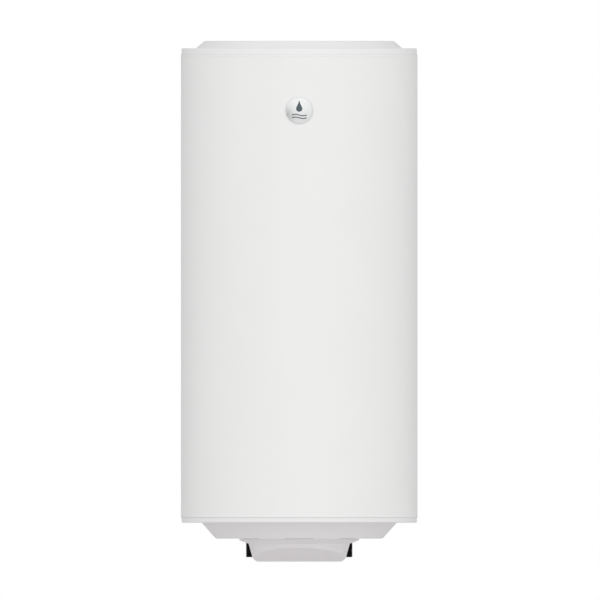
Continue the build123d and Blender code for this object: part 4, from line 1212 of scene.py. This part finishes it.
def parting_line():
    """The groove round the case where its two halves meet, as a ring to cut from it."""
    past = 8.0
    outside = [
        loop_box(CASE_HALF_X + past, CASE_HALF_Y + past, CASE_CORNER, height)
        for height in (GROOVE_LOW, GROOVE_HIGH)
    ]
    inside = [
        loop_box(
            CASE_HALF_X - GROOVE_DEPTH, CASE_HALF_Y - GROOVE_DEPTH, CASE_CORNER - GROOVE_DEPTH,
            height,
        )
        for height in (THERMO_LOW + 19, THERMO_LOW + 21)
    ]
    return cut(lofted("groove", outside, case_place), lofted("core", inside, case_place))


body = block(
    "thermostat_case", CASE_HALF_X, CASE_HALF_Y, THERMO_LOW, THERMO_HIGH, CASE_CORNER, CASE_EDGE,
    case_place,
)
combined(body, scale_marks(), "UNION")
guard_r, guard_low = BUTTON_R + 1.1, THERMO_LOW - 1.2
guard = tube("guard", guard_r, guard_r + 1.3, guard_low, THERMO_LOW + 1, button_place, edge=0.25)
combined(body, guard, "UNION")
cut(body, parting_line())
cut(
    body,
    rod("shaft_bore", SHAFT_R + SLIDING_FIT, THERMO_LOW - 2, SHAFT_TOP + 2, dial_place),
    rod("button_bore", BUTTON_R + SLIDING_FIT, THERMO_LOW - 2, 46, button_place),
    *[rod("socket", 2.5, THERMO_HIGH - 12, THERMO_HIGH + 2, at(x, y, 0)) for x, y, _ in leg_moves],
)
show(body, "thermostat_body", crease=35)

DIAL_FACE = DIAL_TOP - DIAL_T
GRIPS, GRIP_DEPTH = 30, 0.35


def dial_section(angle):
    """The knob's outline, its side scalloped for the fingers, with its shaft."""
    grip = GRIP_DEPTH * (0.5 - 0.5 * cos(GRIPS * angle)) ** 2
    return [
        (0, DIAL_FACE), (DIAL_R - 1.3, DIAL_FACE), (DIAL_R - 0.9, DIAL_FACE + 0.15),
        (DIAL_R - grip - 0.1, DIAL_FACE + 1.1), (DIAL_R - grip, DIAL_TOP - 0.6),
        (DIAL_R - 0.4, DIAL_TOP), (SHAFT_R, DIAL_TOP), (SHAFT_R, SHAFT_TOP), (0, SHAFT_TOP),
    ]


dial = turned("dial_knob", dial_section, evenly(8 * GRIPS), dial_place)
slot_low, slot_high = DIAL_FACE - OVERRUN, DIAL_FACE + 1.8
cut(dial, block("slot", 1.1, 0.7 * DIAL_R, slot_low, slot_high, 0.3, 0.1, dial_place))
notch = ((0, 2.9 - DIAL_R), (-2.6, -DIAL_R - 1.5), (2.6, -DIAL_R - 1.5))
pointer = [[(x, y, height) for x, y in notch] for height in (slot_low, DIAL_TOP + 0.1)]
cut(dial, lofted("pointer", pointer, dial_place))
show(dial, "thermostat_dial", crease=30)

BUTTON_FACE, BUTTON_TOP = THERMO_LOW - 3, THERMO_LOW + 9
button = rounded(
    [(0, BUTTON_FACE), (BUTTON_R, BUTTON_FACE), (BUTTON_R, BUTTON_TOP), (0, BUTTON_TOP)],
    [1, 0.3],
)
show(lathe("reset_cap", button, button_place), "reset_button")

# ---- Terminal block ----------------------------------------------------------------

BLOCK_Y, BLOCK_LOW, BLOCK_HIGH = 46.0, 61.0, PLATE_BOTTOM - 0.1
BLOCK_HALF_X, BLOCK_HALF_Y = 22.0, 8.0
POLE_PITCH, WELL_DEPTH, ENTRY_HEIGHT = 14.0, 6.0, 69.0
TERMINAL_R, TERMINAL_FACE = 3.0, BLOCK_LOW + 2
block_place = at(0, BLOCK_Y, 0)
poles = [-POLE_PITCH, 0, POLE_PITCH]
well_low, well_top = BLOCK_LOW - 2, BLOCK_LOW + WELL_DEPTH


def divider(x):
    """A groove between two poles."""
    return block("divider", 0.6, 12, well_low, BLOCK_LOW + 3, 0.2, 0.1, at(x, BLOCK_Y, 0))


terminal_block = block(
    "terminal_case", BLOCK_HALF_X, BLOCK_HALF_Y, BLOCK_LOW, BLOCK_HIGH, 2, 0.8, block_place
)
cut(
    terminal_block,
    *[rod("screw_well", TERMINAL_R + 0.2, well_low, well_top, at(x, BLOCK_Y, 0)) for x in poles],
    *[rod("rear_entry", 2.4, 3, 12, at(x, BLOCK_Y, ENTRY_HEIGHT, TOWARDS_WALL)) for x in poles],
    *[divider(x) for x in (-POLE_PITCH / 2, POLE_PITCH / 2)],
)
show(terminal_block, "terminal_block", crease=35)

screw = lathe(
    "terminal_screw_set",
    [(0, TERMINAL_FACE), (TERMINAL_R - 0.4, TERMINAL_FACE), (TERMINAL_R, TERMINAL_FACE + 0.4),
     (TERMINAL_R, well_top), (0, well_top)],
    block_place, SMALL,
)
slot_low, slot_high = TERMINAL_FACE - OVERRUN, TERMINAL_FACE + 1.2
cut(screw, block("slot", 0.5, 3.5, slot_low, slot_high, 0.1, 0.05, block_place))
show(copies(screw, *[(x, 0, 0) for x in poles]), "terminal_screws")

# ---- The other nodes keep their CAD shapes -----------------------------------------

for name, node in frame["nodes"].items():
    if name not in shown:
        for holder in node.material_slots:
            holder.material = finishes[node_slots[name]]

# ---- Floor -------------------------------------------------------------------------

FLOOR_DROP, FLOOR_R, FLOOR_T = 1500.0, 2600.0, 20.0
FLOOR_SOLID_M, FLOOR_FADED_M = 1.3, 2.5


def pale_floor():
    """A pale ground that fades out into the white round it."""
    material = finish(
        "floor", (0.74, 0.712, 0.715), drift=0.01, patch=2, roughness=(0.6, 0.7),
        grain=300, bump=0.05,
    )
    tree = material.node_tree
    place = add_node(tree, "TexCoord").outputs["Object"]
    centre = (ORIGIN.x, ORIGIN.y, ORIGIN.z - FLOOR_DROP * MM)
    reach = measure(tree, "DISTANCE", place, centre)
    fade = add_node(
        tree, "MapRange", Value=reach, From_Min=FLOOR_SOLID_M, From_Max=FLOOR_FADED_M
    ).outputs["Result"]
    solid_ground = tree.nodes["Principled BSDF"].outputs[0]
    nothing = add_node(tree, "BsdfTransparent").outputs[0]
    surface = mixed(tree, fade, solid_ground, nothing)
    tree.links.new(surface, tree.nodes["Material Output"].inputs["Surface"])
    return material


floor = rod("floor", FLOOR_R, -FLOOR_DROP - FLOOR_T, -FLOOR_DROP, turns=MEDIUM)
floor.data.materials.append(pale_floor())
